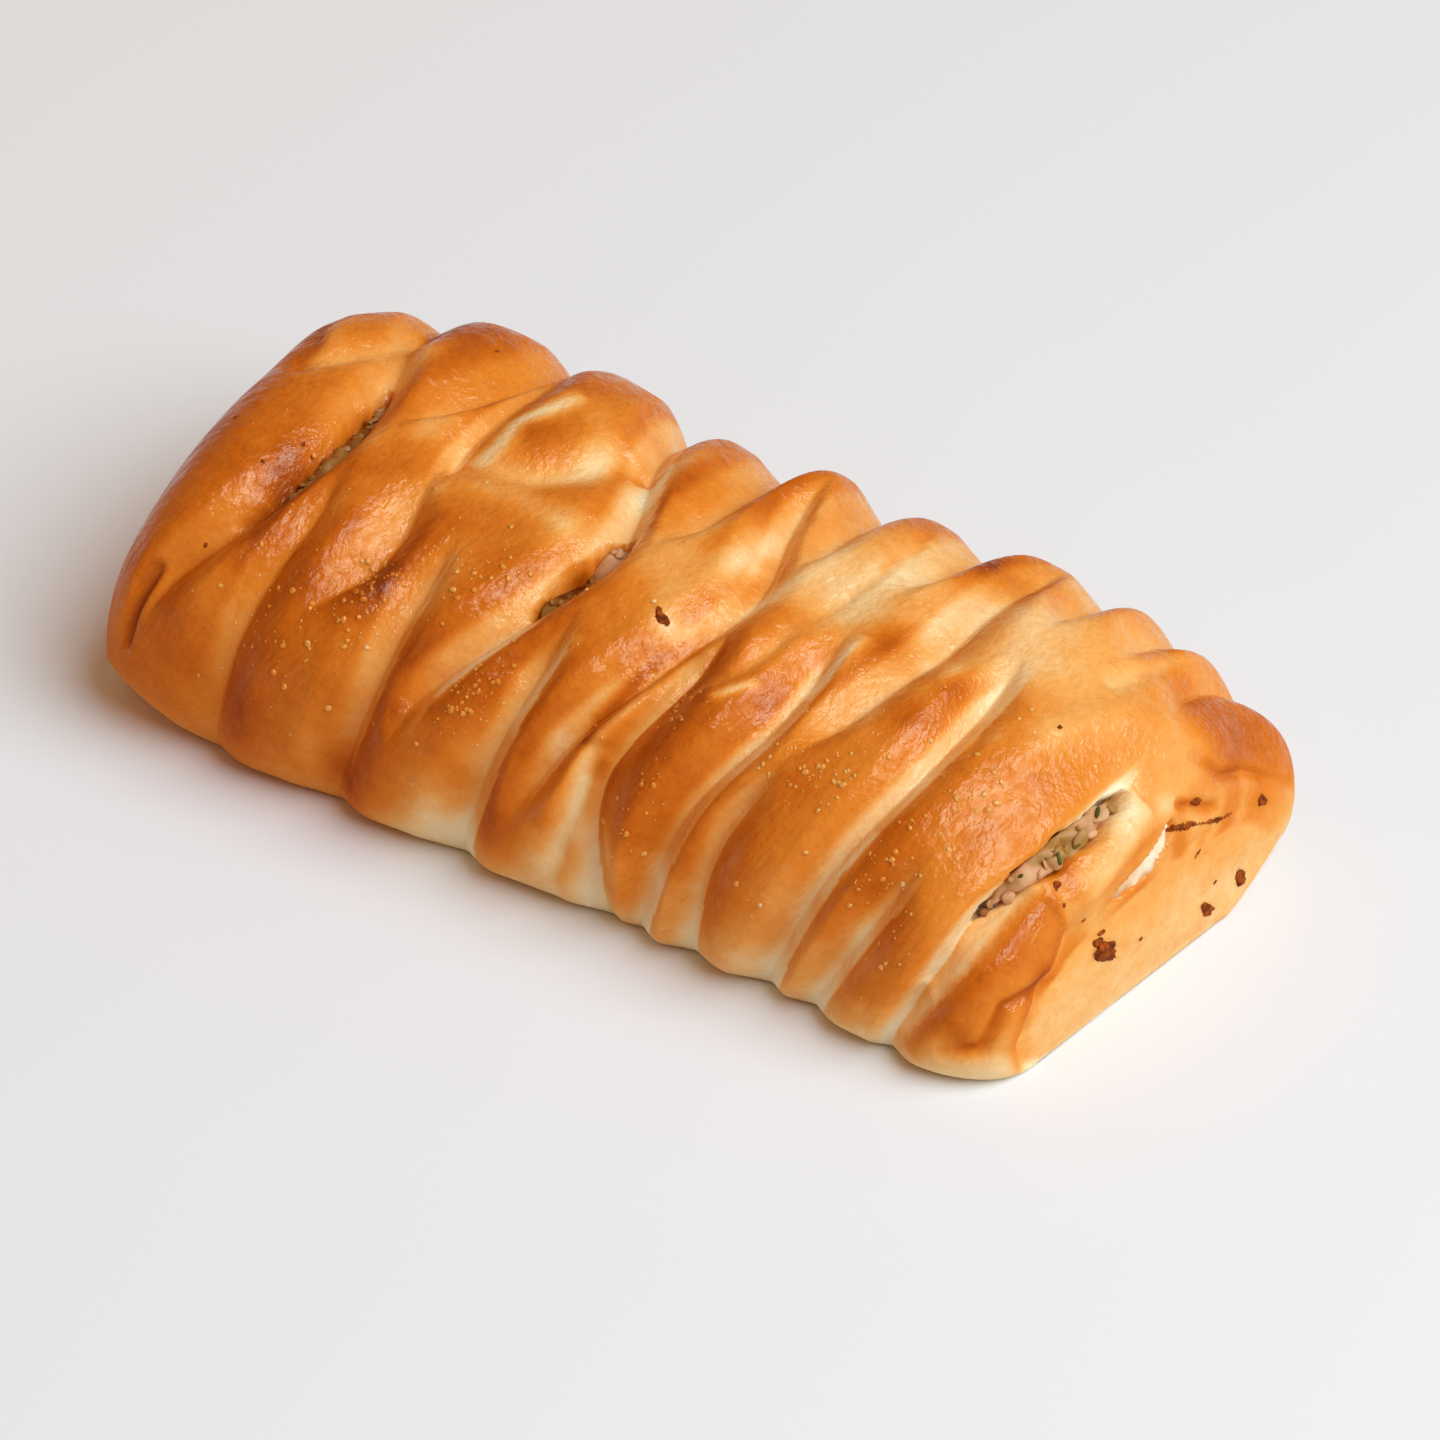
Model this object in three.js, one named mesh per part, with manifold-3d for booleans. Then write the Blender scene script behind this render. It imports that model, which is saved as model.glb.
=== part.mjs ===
// A baked calzone: one sheet of dough, slit in staggered rows and wrapped over a filling.
// Millimetres. +X runs along the loaf, -Y is the near long side, +Z is up, the base lies on Z = 0.
// A place on the crust is (along, across): along is X, across is the run over the section
// from the near foot (0) over the top to the far foot.
import * as THREE from "three";
import { mergeVertices } from "three/addons/utils/BufferGeometryUtils.js";
import Module from "manifold-3d";

const wasm = await Module();
wasm.setup();

// Overall forms: the crust, and the filling inside it
const crust = { halfLength: 85, halfWidth: 41, rise: 43, floor: 0, waist: 12, tuck: 6, endBulge: 1.2 };
const core = { halfLength: 80, halfWidth: 33, rise: 30, floor: 5.5, waist: 9, tuck: 6, endBulge: 1.5 };
const crownPower = 2.4;
const coreClearance = 0.3;

// End shapes: how far from each end the plan and the height start to draw in, and by what share
crust.left = { planRun: 14, farLoss: 0.36, nearLoss: 0.36, tallRun: 16, tallLoss: 0.55 };
crust.right = { planRun: 12, farLoss: 0.3, nearLoss: 0.2, tallRun: 34, tallLoss: 0.58 };
core.left = crust.left;
core.right = { planRun: 12, farLoss: 0.3, nearLoss: 0.24, tallRun: 20, tallLoss: 0.5 };
const endCentreZ = 9;
const endReliefFade = 8;

// The far side swells towards the left, the right end stands a little askew, the left end leans in,
// and the foot is drawn in or let out in places on the near side (-1) or the far side (1)
const farSwell = { at: -50, spread: 28, out: 5 };
const rightSkew = { from: 40, run: 45, perY: 0.1, back: 1 };
const leftLean = { from: -50, run: 35, perZ: 0.045, nearY: 25 };
const footDraws = [
  { side: -1, at: -78, spread: 11, inward: 5 },
  { side: -1, at: 68, spread: 17, inward: -2.6 },
  { side: 1, at: 86, spread: 16, inward: 14 },
];

// The strands of dough: each slit leaves a gentle slope on its left and a raised round lip on its right
const lipRise = 6.5;
const lipPower = 2;
const lipSpread = 5;
const lipLost = 2.5;
const slopePower = 1.25;
const slitTaper = 14;
const slitNarrow = 0.4;
const slitRound = 0.4;
const footFade = 8;
const footGroove = { share: 0.55, full: 14 };

// Stations across the loaf, and the slits, left to right: where each runs along the loaf at those
// stations, and the spans across in which it is open, with their depth, the lip's height and how far
// the slope reaches
const across = { foot: 4, side: 30, shoulder: 50, top: 70, farShoulder: 96, farFoot: 138 };
const slits = [
  slit([-71, -70.5, -61, -57, -63, -74], [span(24, 96, 4.4, 0.8, 7), span(84, 165, 2.4, 0.6, 7)]),
  slit([-60, -55, -52, -51.5, -43, -44], [span(-16, 64, 2.5, 0.6, 8), span(66, 165, 3.4, 0.8, 8)]),
  slit([-47, -47, -38.7, -40, -39.5, -38], [span(34, 69, 3.8, 0.6, 7.2), span(60, 106, 2.4, 0.5, 4)]),
  slit([-37.5, -31, -29.5, -28, -27, -27], [span(-16, 60, 3.6, 0.6, 8)]),
  slit([-27, -23.5, -13, -8.5, -17, -22], [span(22, 165, 4.6, 0.6, 7.5)]),
  slit([-15, -8.7, -5.5, -2, 0.5, -4], [span(-16, 55, 4, 0.6, 7.5), span(68, 165, 3.4, 1, 8)]),
  slit([-8, 0.5, 10, 15, 9, 10], [span(15, 104, 4.4, 0.6, 7)]),
  slit([11, 9.8, 15.5, 17.5, 17.5, 16], [span(-16, 66, 4.4, 0.8, 6), span(74, 165, 3.6, 1, 8)]),
  slit([16.5, 23.5, 31, 32, 35, 35], [span(-16, 72, 4, 0.6, 5.5), span(78, 165, 3.2, 0.8, 8)]),
  slit([26, 30.5, 39, 44.5, 46.5, 47], [span(-16, 46, 3.4, 0.6, 6), span(42, 112, 3.4, 0.6, 9)]),
  slit([39, 49, 56, 57.5, 55, 55], [span(-16, 80, 4.2, 0.6, 5.5), span(84, 165, 3.2, 0.8, 8)]),
  slit([48, 61, 66.5, 69, 66, 66], [span(-14, 42, 3.6, 0.5, 6.5), span(86, 165, 2.8, 0.6, 8)]),
  slit([63.5, 73.5, 78.3, 79.5, 75, 75], [
    span(-14, 53, 3.6, 0.5, 2.6), span(44, 80, 1.6, 0.4, 2.2), span(84, 165, 3.2, 0.8, 8),
  ]),
];

// Broad swellings (positive) and hollows (negative): [along, across], reach each way, height
const swellings = [
  { at: [27, 73], reach: [9, 7], height: -1.8 },
  { at: [51, 75], reach: [7, 6], height: -1.6 },
  { at: [-54, 104], reach: [9, 18], height: 1.8 },
  { at: [-29, 100], reach: [10, 16], height: 2.2 },
  { at: [8, 102], reach: [6, 16], height: 1.6 },
  { at: [46, 102], reach: [7, 16], height: 1.3 },
  { at: [81, 106], reach: [6, 12], height: -3 },
  { at: [-77, 92], reach: [5, 8], height: 1.4 },
];

// Broad folds (positive depth) and ridges (negative) that follow a line of [along, across] places
const folds = [
  { line: [[-74, 77], [-69, 83], [-65, 90], [-63, 98]], halfWidth: 2.6, depth: 2 },
  { line: [[-40, 71], [-33, 73.5], [-27, 75.5], [-21, 81], [-18.5, 90]], halfWidth: 3.8, depth: 2.6 },
  { line: [[2, 0], [4, 15], [6, 26], [7, 36]], halfWidth: 1.6, depth: 2 },
  { line: [[66.5, 58], [69, 69.5], [72.5, 79.5], [78, 87]], halfWidth: 3, depth: -1.2 },
  { line: [[69, 82], [70, 94], [69, 103.5]], halfWidth: 2, depth: 1.4 },
  { line: [[79, 47], [77.6, 39], [76, 33], [73.8, 27], [70.5, 19.5]], halfWidth: 2.5, depth: 2.2 },
  { line: [[81.6, 73], [82.4, 65], [83, 57], [83.2, 47]], halfWidth: 3.6, depth: -2.4 },
];
const foldTaper = 0.4;

// Edges where one sheet of dough ends on another: the line, the step down, how far the dip reaches
const edges = [
  { line: [[80.3, 50], [84.2, 47], [84.8, 41], [84.92, 33], [84.92, 17], [84.8, 3]], step: 1.5, back: 5 },
  { line: [[67.5, 8], [75, 24], [78.2, 34], [79.6, 41], [80.6, 49.4]], step: 1.5, back: 2.5 },
  { line: [[-72.5, 77], [-77, 82], [-77, 92], [-74.5, 97]], step: 2.6, back: 6 },
];
const edgeSoftness = 0.8;
const edgeTaper = 0.5;

// Openings where the dough has parted and the filling shows: both ends, half width, depth
const gaps = [
  { from: [-62, 46], to: [-57, 82], halfWidth: 1.9, depth: 8.5 },
  { from: [-12.2, 53], to: [-8.3, 71], halfWidth: 2.5, depth: 9 },
  { from: [77.4, 41], to: [79.9, 70], halfWidth: 1.6, depth: 8 },
  { from: [84.6, 60], to: [84.3, 76], halfWidth: 1.1, depth: 6.5 },
];
const gapOverrun = 1.5;

// Fineness of the meshes
const crustMesh = { leftRows: 9, rightRows: 11, capRows: 4, overTop: 36, underneath: 5 };
const strandRows = [0, 0.1, 0.22, 0.4, 0.58, 0.76, 0.9];
const coreMesh = { bodyRows: 14, endRows: 4, capRows: 2, overTop: 18, underneath: 5 };
const gapMesh = { around: 14, along: 12 };
const outlineSteps = 160;
const normalStep = 0.4;
const weldWithin = 1e-4;

const doughLook = { color: 0xc9853f, roughness: 0.45, metalness: 0 };
const fillingLook = { color: 0xb5a283, roughness: 0.6, metalness: 0 };

function slit(along, spans) {
  return { along, spans };
}

function span(from, to, depth, lip, reach) {
  return { from, to, depth, lip, reach };
}

function clamp(value, low, high) {
  return Math.min(high, Math.max(low, value));
}

function smooth(low, high, value) {
  const t = clamp((value - low) / (high - low), 0, 1);
  return t * t * (3 - 2 * t);
}

function hump(value, middle, reach) {
  return Math.exp(-(((value - middle) / reach) ** 2));
}

// The section's outline over the top, as a dense run of points with their distance from the near foot
function outlineOf(body) {
  const points = [];
  const steps = outlineSteps;
  const push = (y, z) => {
    const last = points[points.length - 1];
    const run = last ? last.run + Math.hypot(y - last.y, z - last.z) : 0;
    points.push({ y, z, run });
  };
  for (let i = 0; i <= steps; i++) {
    const a = (i / steps) * (Math.PI / 2);
    push(-(body.halfWidth - body.tuck) - body.tuck * Math.sin(a), body.waist * (1 - Math.cos(a)));
  }
  for (let i = 1; i <= 2 * steps; i++) {
    const a = (i / (2 * steps)) * Math.PI;
    const c = Math.cos(a);
    const y = -body.halfWidth * Math.sign(c) * Math.abs(c) ** (2 / crownPower);
    push(y, body.waist + (body.rise - body.waist) * Math.sin(a) ** (2 / crownPower));
  }
  for (let i = 1; i <= steps; i++) {
    const a = (1 - i / steps) * (Math.PI / 2);
    push(body.halfWidth - body.tuck + body.tuck * Math.sin(a), body.waist * (1 - Math.cos(a)));
  }
  return points;
}

function sectionPoint(outline, place) {
  const last = outline.length - 1;
  const run = clamp(place, 0, outline[last].run);
  let low = 0;
  let high = last;
  while (high - low > 1) {
    const middle = (low + high) >> 1;
    if (outline[middle].run > run) high = middle;
    else low = middle;
  }
  const t = (run - outline[low].run) / (outline[high].run - outline[low].run || 1);
  const y = outline[low].y + t * (outline[high].y - outline[low].y);
  const z = outline[low].z + t * (outline[high].z - outline[low].z);
  return [y, z];
}

// 0 along the body, rising as a quarter circle to 1 at the end
function endTurn(along, halfLength, run) {
  const t = clamp((Math.abs(along) - (halfLength - run)) / run, 0, 1);
  return 1 - Math.sqrt(1 - t * t);
}

// The plain loaf, without strands
function loafPoint(body, outline, along, place) {
  const end = along < 0 ? body.left : body.right;
  const [y, z] = sectionPoint(outline, place);
  const planLoss = y < 0 ? end.nearLoss : end.farLoss;
  const plan = 1 - planLoss * endTurn(along, body.halfLength, end.planRun);
  const tall = 1 - end.tallLoss * endTurn(along, body.halfLength, end.tallRun);
  let shift = clamp(y / body.halfWidth, 0, 1) * farSwell.out * hump(along, farSwell.at, farSwell.spread);
  const low = clamp(1 - z / body.waist, 0, 1);
  for (const draw of footDraws) {
    const side = clamp((draw.side * y) / body.halfWidth, 0, 1);
    shift -= draw.side * side * low * draw.inward * hump(along, draw.at, draw.spread);
  }
  const skew = clamp((along - rightSkew.from) / rightSkew.run, 0, 1) * (rightSkew.perY * y - rightSkew.back);
  const leaning = clamp((leftLean.from - along) / leftLean.run, 0, 1) * clamp(-y / leftLean.nearY, 0, 1);
  const lean = leaning * leftLean.perZ * z * tall;
  return new THREE.Vector3(along + skew + lean, y * plan + shift, body.floor + z * tall);
}

function loafNormal(body, outline, along, place) {
  const step = normalStep;
  const run = outline[outline.length - 1].run;
  const a = clamp(along, -body.halfLength + step, body.halfLength - step);
  const c = clamp(place, step, run - step);
  const alongward = loafPoint(body, outline, a + step, c).sub(loafPoint(body, outline, a - step, c));
  const acrossward = loafPoint(body, outline, a, c + step).sub(loafPoint(body, outline, a, c - step));
  return alongward.cross(acrossward).normalize();
}

// Where a slit runs at a given place across the loaf: a smooth curve through its stations
function slitAlong(line, place) {
  const at = Object.values(across);
  const last = at.length - 1;
  const s = clamp(place, at[0], at[last]);
  let k = 0;
  while (k < last - 1 && s > at[k + 1]) k++;
  const value = (i) => line.along[clamp(i, 0, last)];
  const pitch = (i) => {
    const low = Math.max(i - 1, 0);
    const high = Math.min(i + 1, last);
    return (value(high) - value(low)) / (at[high] - at[low]);
  };
  const run = at[k + 1] - at[k];
  const t = (s - at[k]) / run;
  const rise = t * t * (3 - 2 * t);
  const bendIn = t * (1 - t) * (1 - t) * run * pitch(k);
  const bendOut = t * t * (t - 1) * run * pitch(k + 1);
  return value(k) + (value(k + 1) - value(k)) * rise + bendIn + bendOut;
}

// How far a place lies from a line drawn on the loaf, on which side, and how far along the line
function lineAway(nodes, base, normal) {
  const lengths = nodes.slice(1).map((node, i) => node.distanceTo(nodes[i]));
  const total = lengths.reduce((sum, length) => sum + length, 0);
  let best = { away: Infinity, share: 0 };
  let done = 0;
  lengths.forEach((length, i) => {
    const way = nodes[i + 1].clone().sub(nodes[i]).divideScalar(length);
    const off = base.clone().sub(nodes[i]);
    const run = clamp(off.dot(way), 0, length);
    off.addScaledVector(way, -run);
    const away = off.length();
    if (away < Math.abs(best.away)) {
      const side = Math.sign(way.cross(off).dot(normal));
      best = { away: away * side, share: (done + run) / total };
    }
    done += length;
  });
  return best;
}

// The grooves of all the slits together, and their lips
function slitForm(along, place) {
  let groove = 0;
  let lips = 0;
  for (const line of slits) {
    const away = along - slitAlong(line, place);
    const far = Math.hypot(away, slitRound) - slitRound;
    for (const part of line.spans) {
      const enter = smooth(part.from, part.from + slitTaper, place);
      const open = enter * (1 - smooth(part.to - slitTaper, part.to, place));
      const narrow = slitNarrow + (1 - slitNarrow) * open;
      const reach = narrow * (away < 0 ? part.reach : lipRise);
      const power = away < 0 ? slopePower : lipPower;
      groove += (part.depth * open * clamp(1 - far / reach, 0, 1) ** power) ** 3;
      lips += part.lip * open * hump(away, lipRise * narrow, lipSpread);
    }
  }
  return { groove: Math.cbrt(groove), lips };
}

function relief(along, place, base, normal) {
  const { groove, lips } = slitForm(along, place);
  const footShare = footGroove.share + (1 - footGroove.share) * smooth(0, footGroove.full, base.z);
  const sunk = groove * footShare;
  let height = lips * (1 - clamp(sunk / lipLost, 0, 1)) - sunk;
  for (const swelling of swellings) {
    const wide = hump(along, swelling.at[0], swelling.reach[0]);
    height += swelling.height * wide * hump(place, swelling.at[1], swelling.reach[1]);
  }
  for (const fold of folds) {
    const { away, share } = lineAway(fold.nodes, base, normal);
    height -= fold.depth * hump(away, 0, fold.halfWidth) * (4 * share * (1 - share)) ** foldTaper;
  }
  for (const edge of edges) {
    const { away, share } = lineAway(edge.nodes, base, normal);
    const low = smooth(-edgeSoftness, edgeSoftness, away) * Math.exp(-Math.max(away, 0) / edge.back);
    height -= edge.step * low * (4 * share * (1 - share)) ** edgeTaper;
  }
  return height;
}

// The crust with its strands: the relief stands square to the loaf, and level near the base
function crustPoint(outline, along, place) {
  const point = loafPoint(crust, outline, along, place);
  const normal = loafNormal(crust, outline, along, place);
  const height = relief(along, place, point, normal);
  normal.z *= smooth(0, footFade, point.z);
  point.addScaledVector(normal, height);
  point.z = Math.max(point.z, 0);
  return point;
}

// Rows of the plain filling: close together round the ends, even along the body
function plainRows(body, mesh) {
  const rows = [];
  const from = -body.halfLength + body.left.planRun;
  const to = body.halfLength - body.right.planRun;
  for (let i = 0; i < mesh.endRows; i++) {
    const a = (i / mesh.endRows) * (Math.PI / 2);
    rows.push(() => -body.halfLength + body.left.planRun * (1 - Math.cos(a)));
  }
  for (let i = 0; i < mesh.bodyRows; i++) rows.push(() => from + ((to - from) * i) / mesh.bodyRows);
  for (let i = 0; i <= mesh.endRows; i++) {
    const a = (i / mesh.endRows) * (Math.PI / 2);
    rows.push(() => to + body.right.planRun * Math.sin(a));
  }
  return rows;
}

// Rows of the crust follow the slits: a row lies along each slit, and the rest share out each strand
function strandRowList(body, mesh) {
  const rows = [];
  const first = slits[0];
  const last = slits[slits.length - 1];
  for (let i = 0; i < mesh.leftRows; i++) {
    const share = 1 - Math.cos((i / mesh.leftRows) * (Math.PI / 2));
    rows.push((place) => -body.halfLength + share * (slitAlong(first, place) + body.halfLength));
  }
  for (let k = 0; k + 1 < slits.length; k++) {
    for (const share of strandRows) {
      rows.push((place) => {
        const from = slitAlong(slits[k], place);
        return from + share * (slitAlong(slits[k + 1], place) - from);
      });
    }
  }
  for (let i = 0; i <= mesh.rightRows; i++) {
    const share = Math.sin((i / mesh.rightRows) * (Math.PI / 2));
    rows.push((place) => {
      const from = slitAlong(last, place);
      return from + share * (body.halfLength - from);
    });
  }
  return rows;
}

// A closed skin: rings of points from end to end. Each end is drawn in to a single point, and the
// relief of its edge dies out on the way
function skin(body, mesh, rows, surface) {
  const outline = outlineOf(body);
  const run = outline[outline.length - 1].run;
  const ring = (row, pointAt) => {
    const points = [];
    for (let j = 0; j <= mesh.overTop; j++) {
      const place = (run * j) / mesh.overTop;
      points.push(pointAt(outline, row(place), place));
    }
    const near = points[0];
    const far = points[mesh.overTop];
    for (let j = 1; j < mesh.underneath; j++) points.push(far.clone().lerp(near, j / mesh.underneath));
    return points;
  };
  const rings = rows.map((row) => ring(row, surface));
  const plainRing = (row) => ring(row, (line, along, place) => loafPoint(body, line, along, place));
  const capRings = (edge, plain, side) => {
    const caps = [];
    const middle = plain.reduce((sum, p) => sum.add(p), new THREE.Vector3()).divideScalar(plain.length);
    middle.z = body.floor + endCentreZ;
    for (let k = 1; k < mesh.capRows; k++) {
      const share = 1 - k / mesh.capRows;
      const out = new THREE.Vector3(side * body.endBulge * (1 - share * share), 0, 0);
      const kept = share ** endReliefFade;
      const raise = (p, j) => edge[j].clone().sub(p).multiplyScalar(kept).add(out);
      caps.push(plain.map((p, j) => middle.clone().lerp(p, share).add(raise(p, j))));
    }
    middle.x += side * body.endBulge;
    return { caps, pole: middle };
  };
  const left = capRings(rings[0], plainRing(rows[0]), -1);
  const right = capRings(rings[rings.length - 1], plainRing(rows[rows.length - 1]), 1);
  const all = [...left.caps.reverse(), ...rings, ...right.caps];
  const around = all[0].length;
  const positions = all.flat().flatMap((p) => [p.x, p.y, p.z]);
  const leftPole = positions.length / 3;
  positions.push(left.pole.x, left.pole.y, left.pole.z);
  positions.push(right.pole.x, right.pole.y, right.pole.z);
  const index = [];
  for (let j = 0; j < around; j++) {
    const next = (j + 1) % around;
    index.push(leftPole, j, next);
    for (let i = 0; i + 1 < all.length; i++) {
      const a = i * around + j;
      const b = i * around + next;
      index.push(a, a + around, b, b, a + around, b + around);
    }
    const last = (all.length - 1) * around;
    index.push(leftPole + 1, last + next, last + j);
  }
  const geometry = new THREE.BufferGeometry();
  geometry.setAttribute("position", new THREE.Float32BufferAttribute(positions, 3));
  geometry.setIndex(index);
  return geometry;
}

function toSolid(geometry) {
  const plain = geometry.clone();
  plain.deleteAttribute("normal");
  plain.deleteAttribute("uv");
  const welded = mergeVertices(plain, weldWithin);
  const mesh = new wasm.Mesh({
    numProp: 3,
    vertProperties: new Float32Array(welded.attributes.position.array),
    triVerts: new Uint32Array(welded.index.array),
  });
  return new wasm.Manifold(mesh);
}

function toGeometry(solid) {
  const mesh = solid.getMesh();
  const geometry = new THREE.BufferGeometry();
  geometry.setAttribute("position", new THREE.BufferAttribute(new Float32Array(mesh.vertProperties), 3));
  geometry.setIndex(new THREE.BufferAttribute(new Uint32Array(mesh.triVerts), 1));
  geometry.computeVertexNormals();
  return geometry;
}

// A long lens standing square to the crust, which opens one gap down to the filling
function gapGeometry(gap, outline) {
  const start = crustPoint(outline, gap.from[0], gap.from[1]);
  const finish = crustPoint(outline, gap.to[0], gap.to[1]);
  const along = (gap.from[0] + gap.to[0]) / 2;
  const place = (gap.from[1] + gap.to[1]) / 2;
  const middle = crustPoint(outline, along, place);
  const lengthwise = finish.clone().sub(start);
  const halfLength = lengthwise.length() / 2 + gapOverrun;
  lengthwise.normalize();
  const outward = loafNormal(crust, outline, along, place);
  const sideways = lengthwise.clone().cross(outward).normalize();
  outward.crossVectors(sideways, lengthwise);
  const lens = new THREE.SphereGeometry(1, gapMesh.around, gapMesh.along);
  lens.applyMatrix4(new THREE.Matrix4().makeScale(gap.halfWidth, halfLength, gap.depth));
  lens.applyMatrix4(new THREE.Matrix4().makeBasis(sideways, lengthwise, outward));
  lens.translate(middle.x, middle.y, middle.z);
  return lens;
}

// The hollow for the filling is the filling's own form, larger by the clearance all round
function grown(body, by) {
  return {
    ...body,
    halfLength: body.halfLength + by,
    halfWidth: body.halfWidth + by,
    rise: body.rise + 2 * by,
    floor: body.floor - by,
  };
}

function coreSkin(body) {
  const surface = (outline, along, place) => loafPoint(body, outline, along, place);
  return skin(body, coreMesh, plainRows(body, coreMesh), surface);
}

const crustOutline = outlineOf(crust);
for (const drawn of [...folds, ...edges]) {
  drawn.nodes = drawn.line.map(([along, place]) => loafPoint(crust, crustOutline, along, place));
}
const outer = toSolid(skin(crust, crustMesh, strandRowList(crust, crustMesh), crustPoint));
let dough = outer.subtract(toSolid(coreSkin(grown(core, coreClearance))));
for (const gap of gaps) dough = dough.subtract(toSolid(gapGeometry(gap, crustOutline)));
const filling = toSolid(coreSkin(core));

// The origin is the middle of the base
const box = new THREE.Box3().setFromBufferAttribute(toGeometry(outer).attributes.position);
const centre = box.getCenter(new THREE.Vector3());

function part(name, solid, look) {
  const geometry = toGeometry(solid);
  geometry.translate(-centre.x, -centre.y, -box.min.z);
  const mesh = new THREE.Mesh(geometry, new THREE.MeshStandardMaterial(look));
  mesh.name = name;
  return mesh;
}

const calzone = new THREE.Group();
calzone.name = "calzone";
calzone.add(part("dough", dough, doughLook));
calzone.add(part("filling", filling, fillingLook));

export default calzone;
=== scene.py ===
import math

import bmesh
import bpy
import numpy as np
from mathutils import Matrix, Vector
from mathutils.bvhtree import BVHTree


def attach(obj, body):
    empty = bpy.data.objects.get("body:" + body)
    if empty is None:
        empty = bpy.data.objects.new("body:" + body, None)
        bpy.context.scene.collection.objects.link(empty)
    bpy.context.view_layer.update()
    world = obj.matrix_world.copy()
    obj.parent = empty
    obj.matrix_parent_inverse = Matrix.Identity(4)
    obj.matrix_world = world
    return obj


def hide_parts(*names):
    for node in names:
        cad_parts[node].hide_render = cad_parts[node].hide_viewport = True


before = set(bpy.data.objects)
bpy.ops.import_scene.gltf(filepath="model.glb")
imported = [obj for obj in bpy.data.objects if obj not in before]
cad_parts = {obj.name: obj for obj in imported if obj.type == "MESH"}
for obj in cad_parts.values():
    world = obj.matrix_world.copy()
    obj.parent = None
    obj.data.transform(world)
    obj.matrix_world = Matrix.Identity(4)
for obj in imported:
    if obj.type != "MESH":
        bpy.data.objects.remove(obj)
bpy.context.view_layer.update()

# The loaf is worked out in millimetres. A place on it is (along, across): along runs from end to
# end, across runs over the section from the near foot (0) over the top to the far foot.
mm = 0.001
frameShift = np.array([1.260, 2.118, 0.0])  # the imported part's origin is the middle of its base

leftEnd = dict(planRun=14.0, planLoss=0.36, nearLoss=0.36, tallRun=16.0, tallLoss=0.55)
rightEnd = dict(planRun=12.0, planLoss=0.30, nearLoss=0.20, tallRun=34.0, tallLoss=0.58)
coreRightEnd = dict(planRun=12.0, planLoss=0.30, nearLoss=0.24, tallRun=20.0, tallLoss=0.50)
crust = dict(halfLength=85.0, halfWidth=41.0, rise=43.0, floor=0.0, waist=12.0, tuck=6.0, endBulge=1.2,
             left=leftEnd, right=rightEnd)
core = dict(halfLength=80.0, halfWidth=33.0, rise=30.0, floor=5.5, waist=9.0, tuck=6.0, endBulge=1.5,
            left=leftEnd, right=coreRightEnd)
crownPower = 2.4
sectionSteps = dict(foot=300, crown=900)
endCentreZ = 9.0
endFade = 8  # how soon the relief dies out on the ends
farSwell = dict(at=-50.0, spread=28.0, out=5.0)
footDraws = [
    dict(side=-1, at=-78.0, spread=11.0, inward=5.0),
    dict(side=-1, at=68.0, spread=17.0, inward=-2.6),
    dict(side=1, at=86.0, spread=16.0, inward=14.0),
]
leftLean = dict(start=-50.0, run=35.0, perZ=0.045, nearY=25.0)
rightSkew = dict(start=40.0, run=45.0, perY=0.10, back=1.0)


def smoothStep(low, high, value):
    t = np.clip((value - low) / (high - low), 0, 1)
    return t * t * (3 - 2 * t)


def hump(value, middle, reach):
    return np.exp(-((value - middle) / reach) ** 2)


def spotSum(spots, along, place):
    # round spots on the loaf: (along, across), reach each way, how much
    total = np.zeros_like(along)
    for (x, s), (reachX, reachS), much in spots:
        total += much * hump(along, x, reachX) * hump(place, s, reachS)
    return total


def tapered(share, power):
    # 1 in the middle of a line, 0 at its two ends
    return (4 * share * (1 - share)) ** power


def sectionOf(body):
    quarter = np.linspace(0, math.pi / 2, sectionSteps["foot"])
    footY = -(body["halfWidth"] - body["tuck"]) - body["tuck"] * np.sin(quarter)
    footZ = body["waist"] * (1 - np.cos(quarter))
    half = np.linspace(0, math.pi, sectionSteps["crown"])[1:-1]
    crownY = -body["halfWidth"] * np.sign(np.cos(half)) * np.abs(np.cos(half)) ** (2 / crownPower)
    crownZ = body["waist"] + (body["rise"] - body["waist"]) * np.sin(half) ** (2 / crownPower)
    y = np.concatenate([footY, crownY, -footY[::-1]])
    z = np.concatenate([footZ, crownZ, footZ[::-1]])
    run = np.concatenate([[0], np.cumsum(np.hypot(np.diff(y), np.diff(z)))])
    return dict(y=y, z=z, run=run)


for body in (crust, core):
    body["section"] = sectionOf(body)


def endTurn(along, halfLength, run):
    t = np.clip((np.abs(along) - (halfLength - run)) / run, 0, 1)
    return 1 - np.sqrt(1 - t * t)


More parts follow.
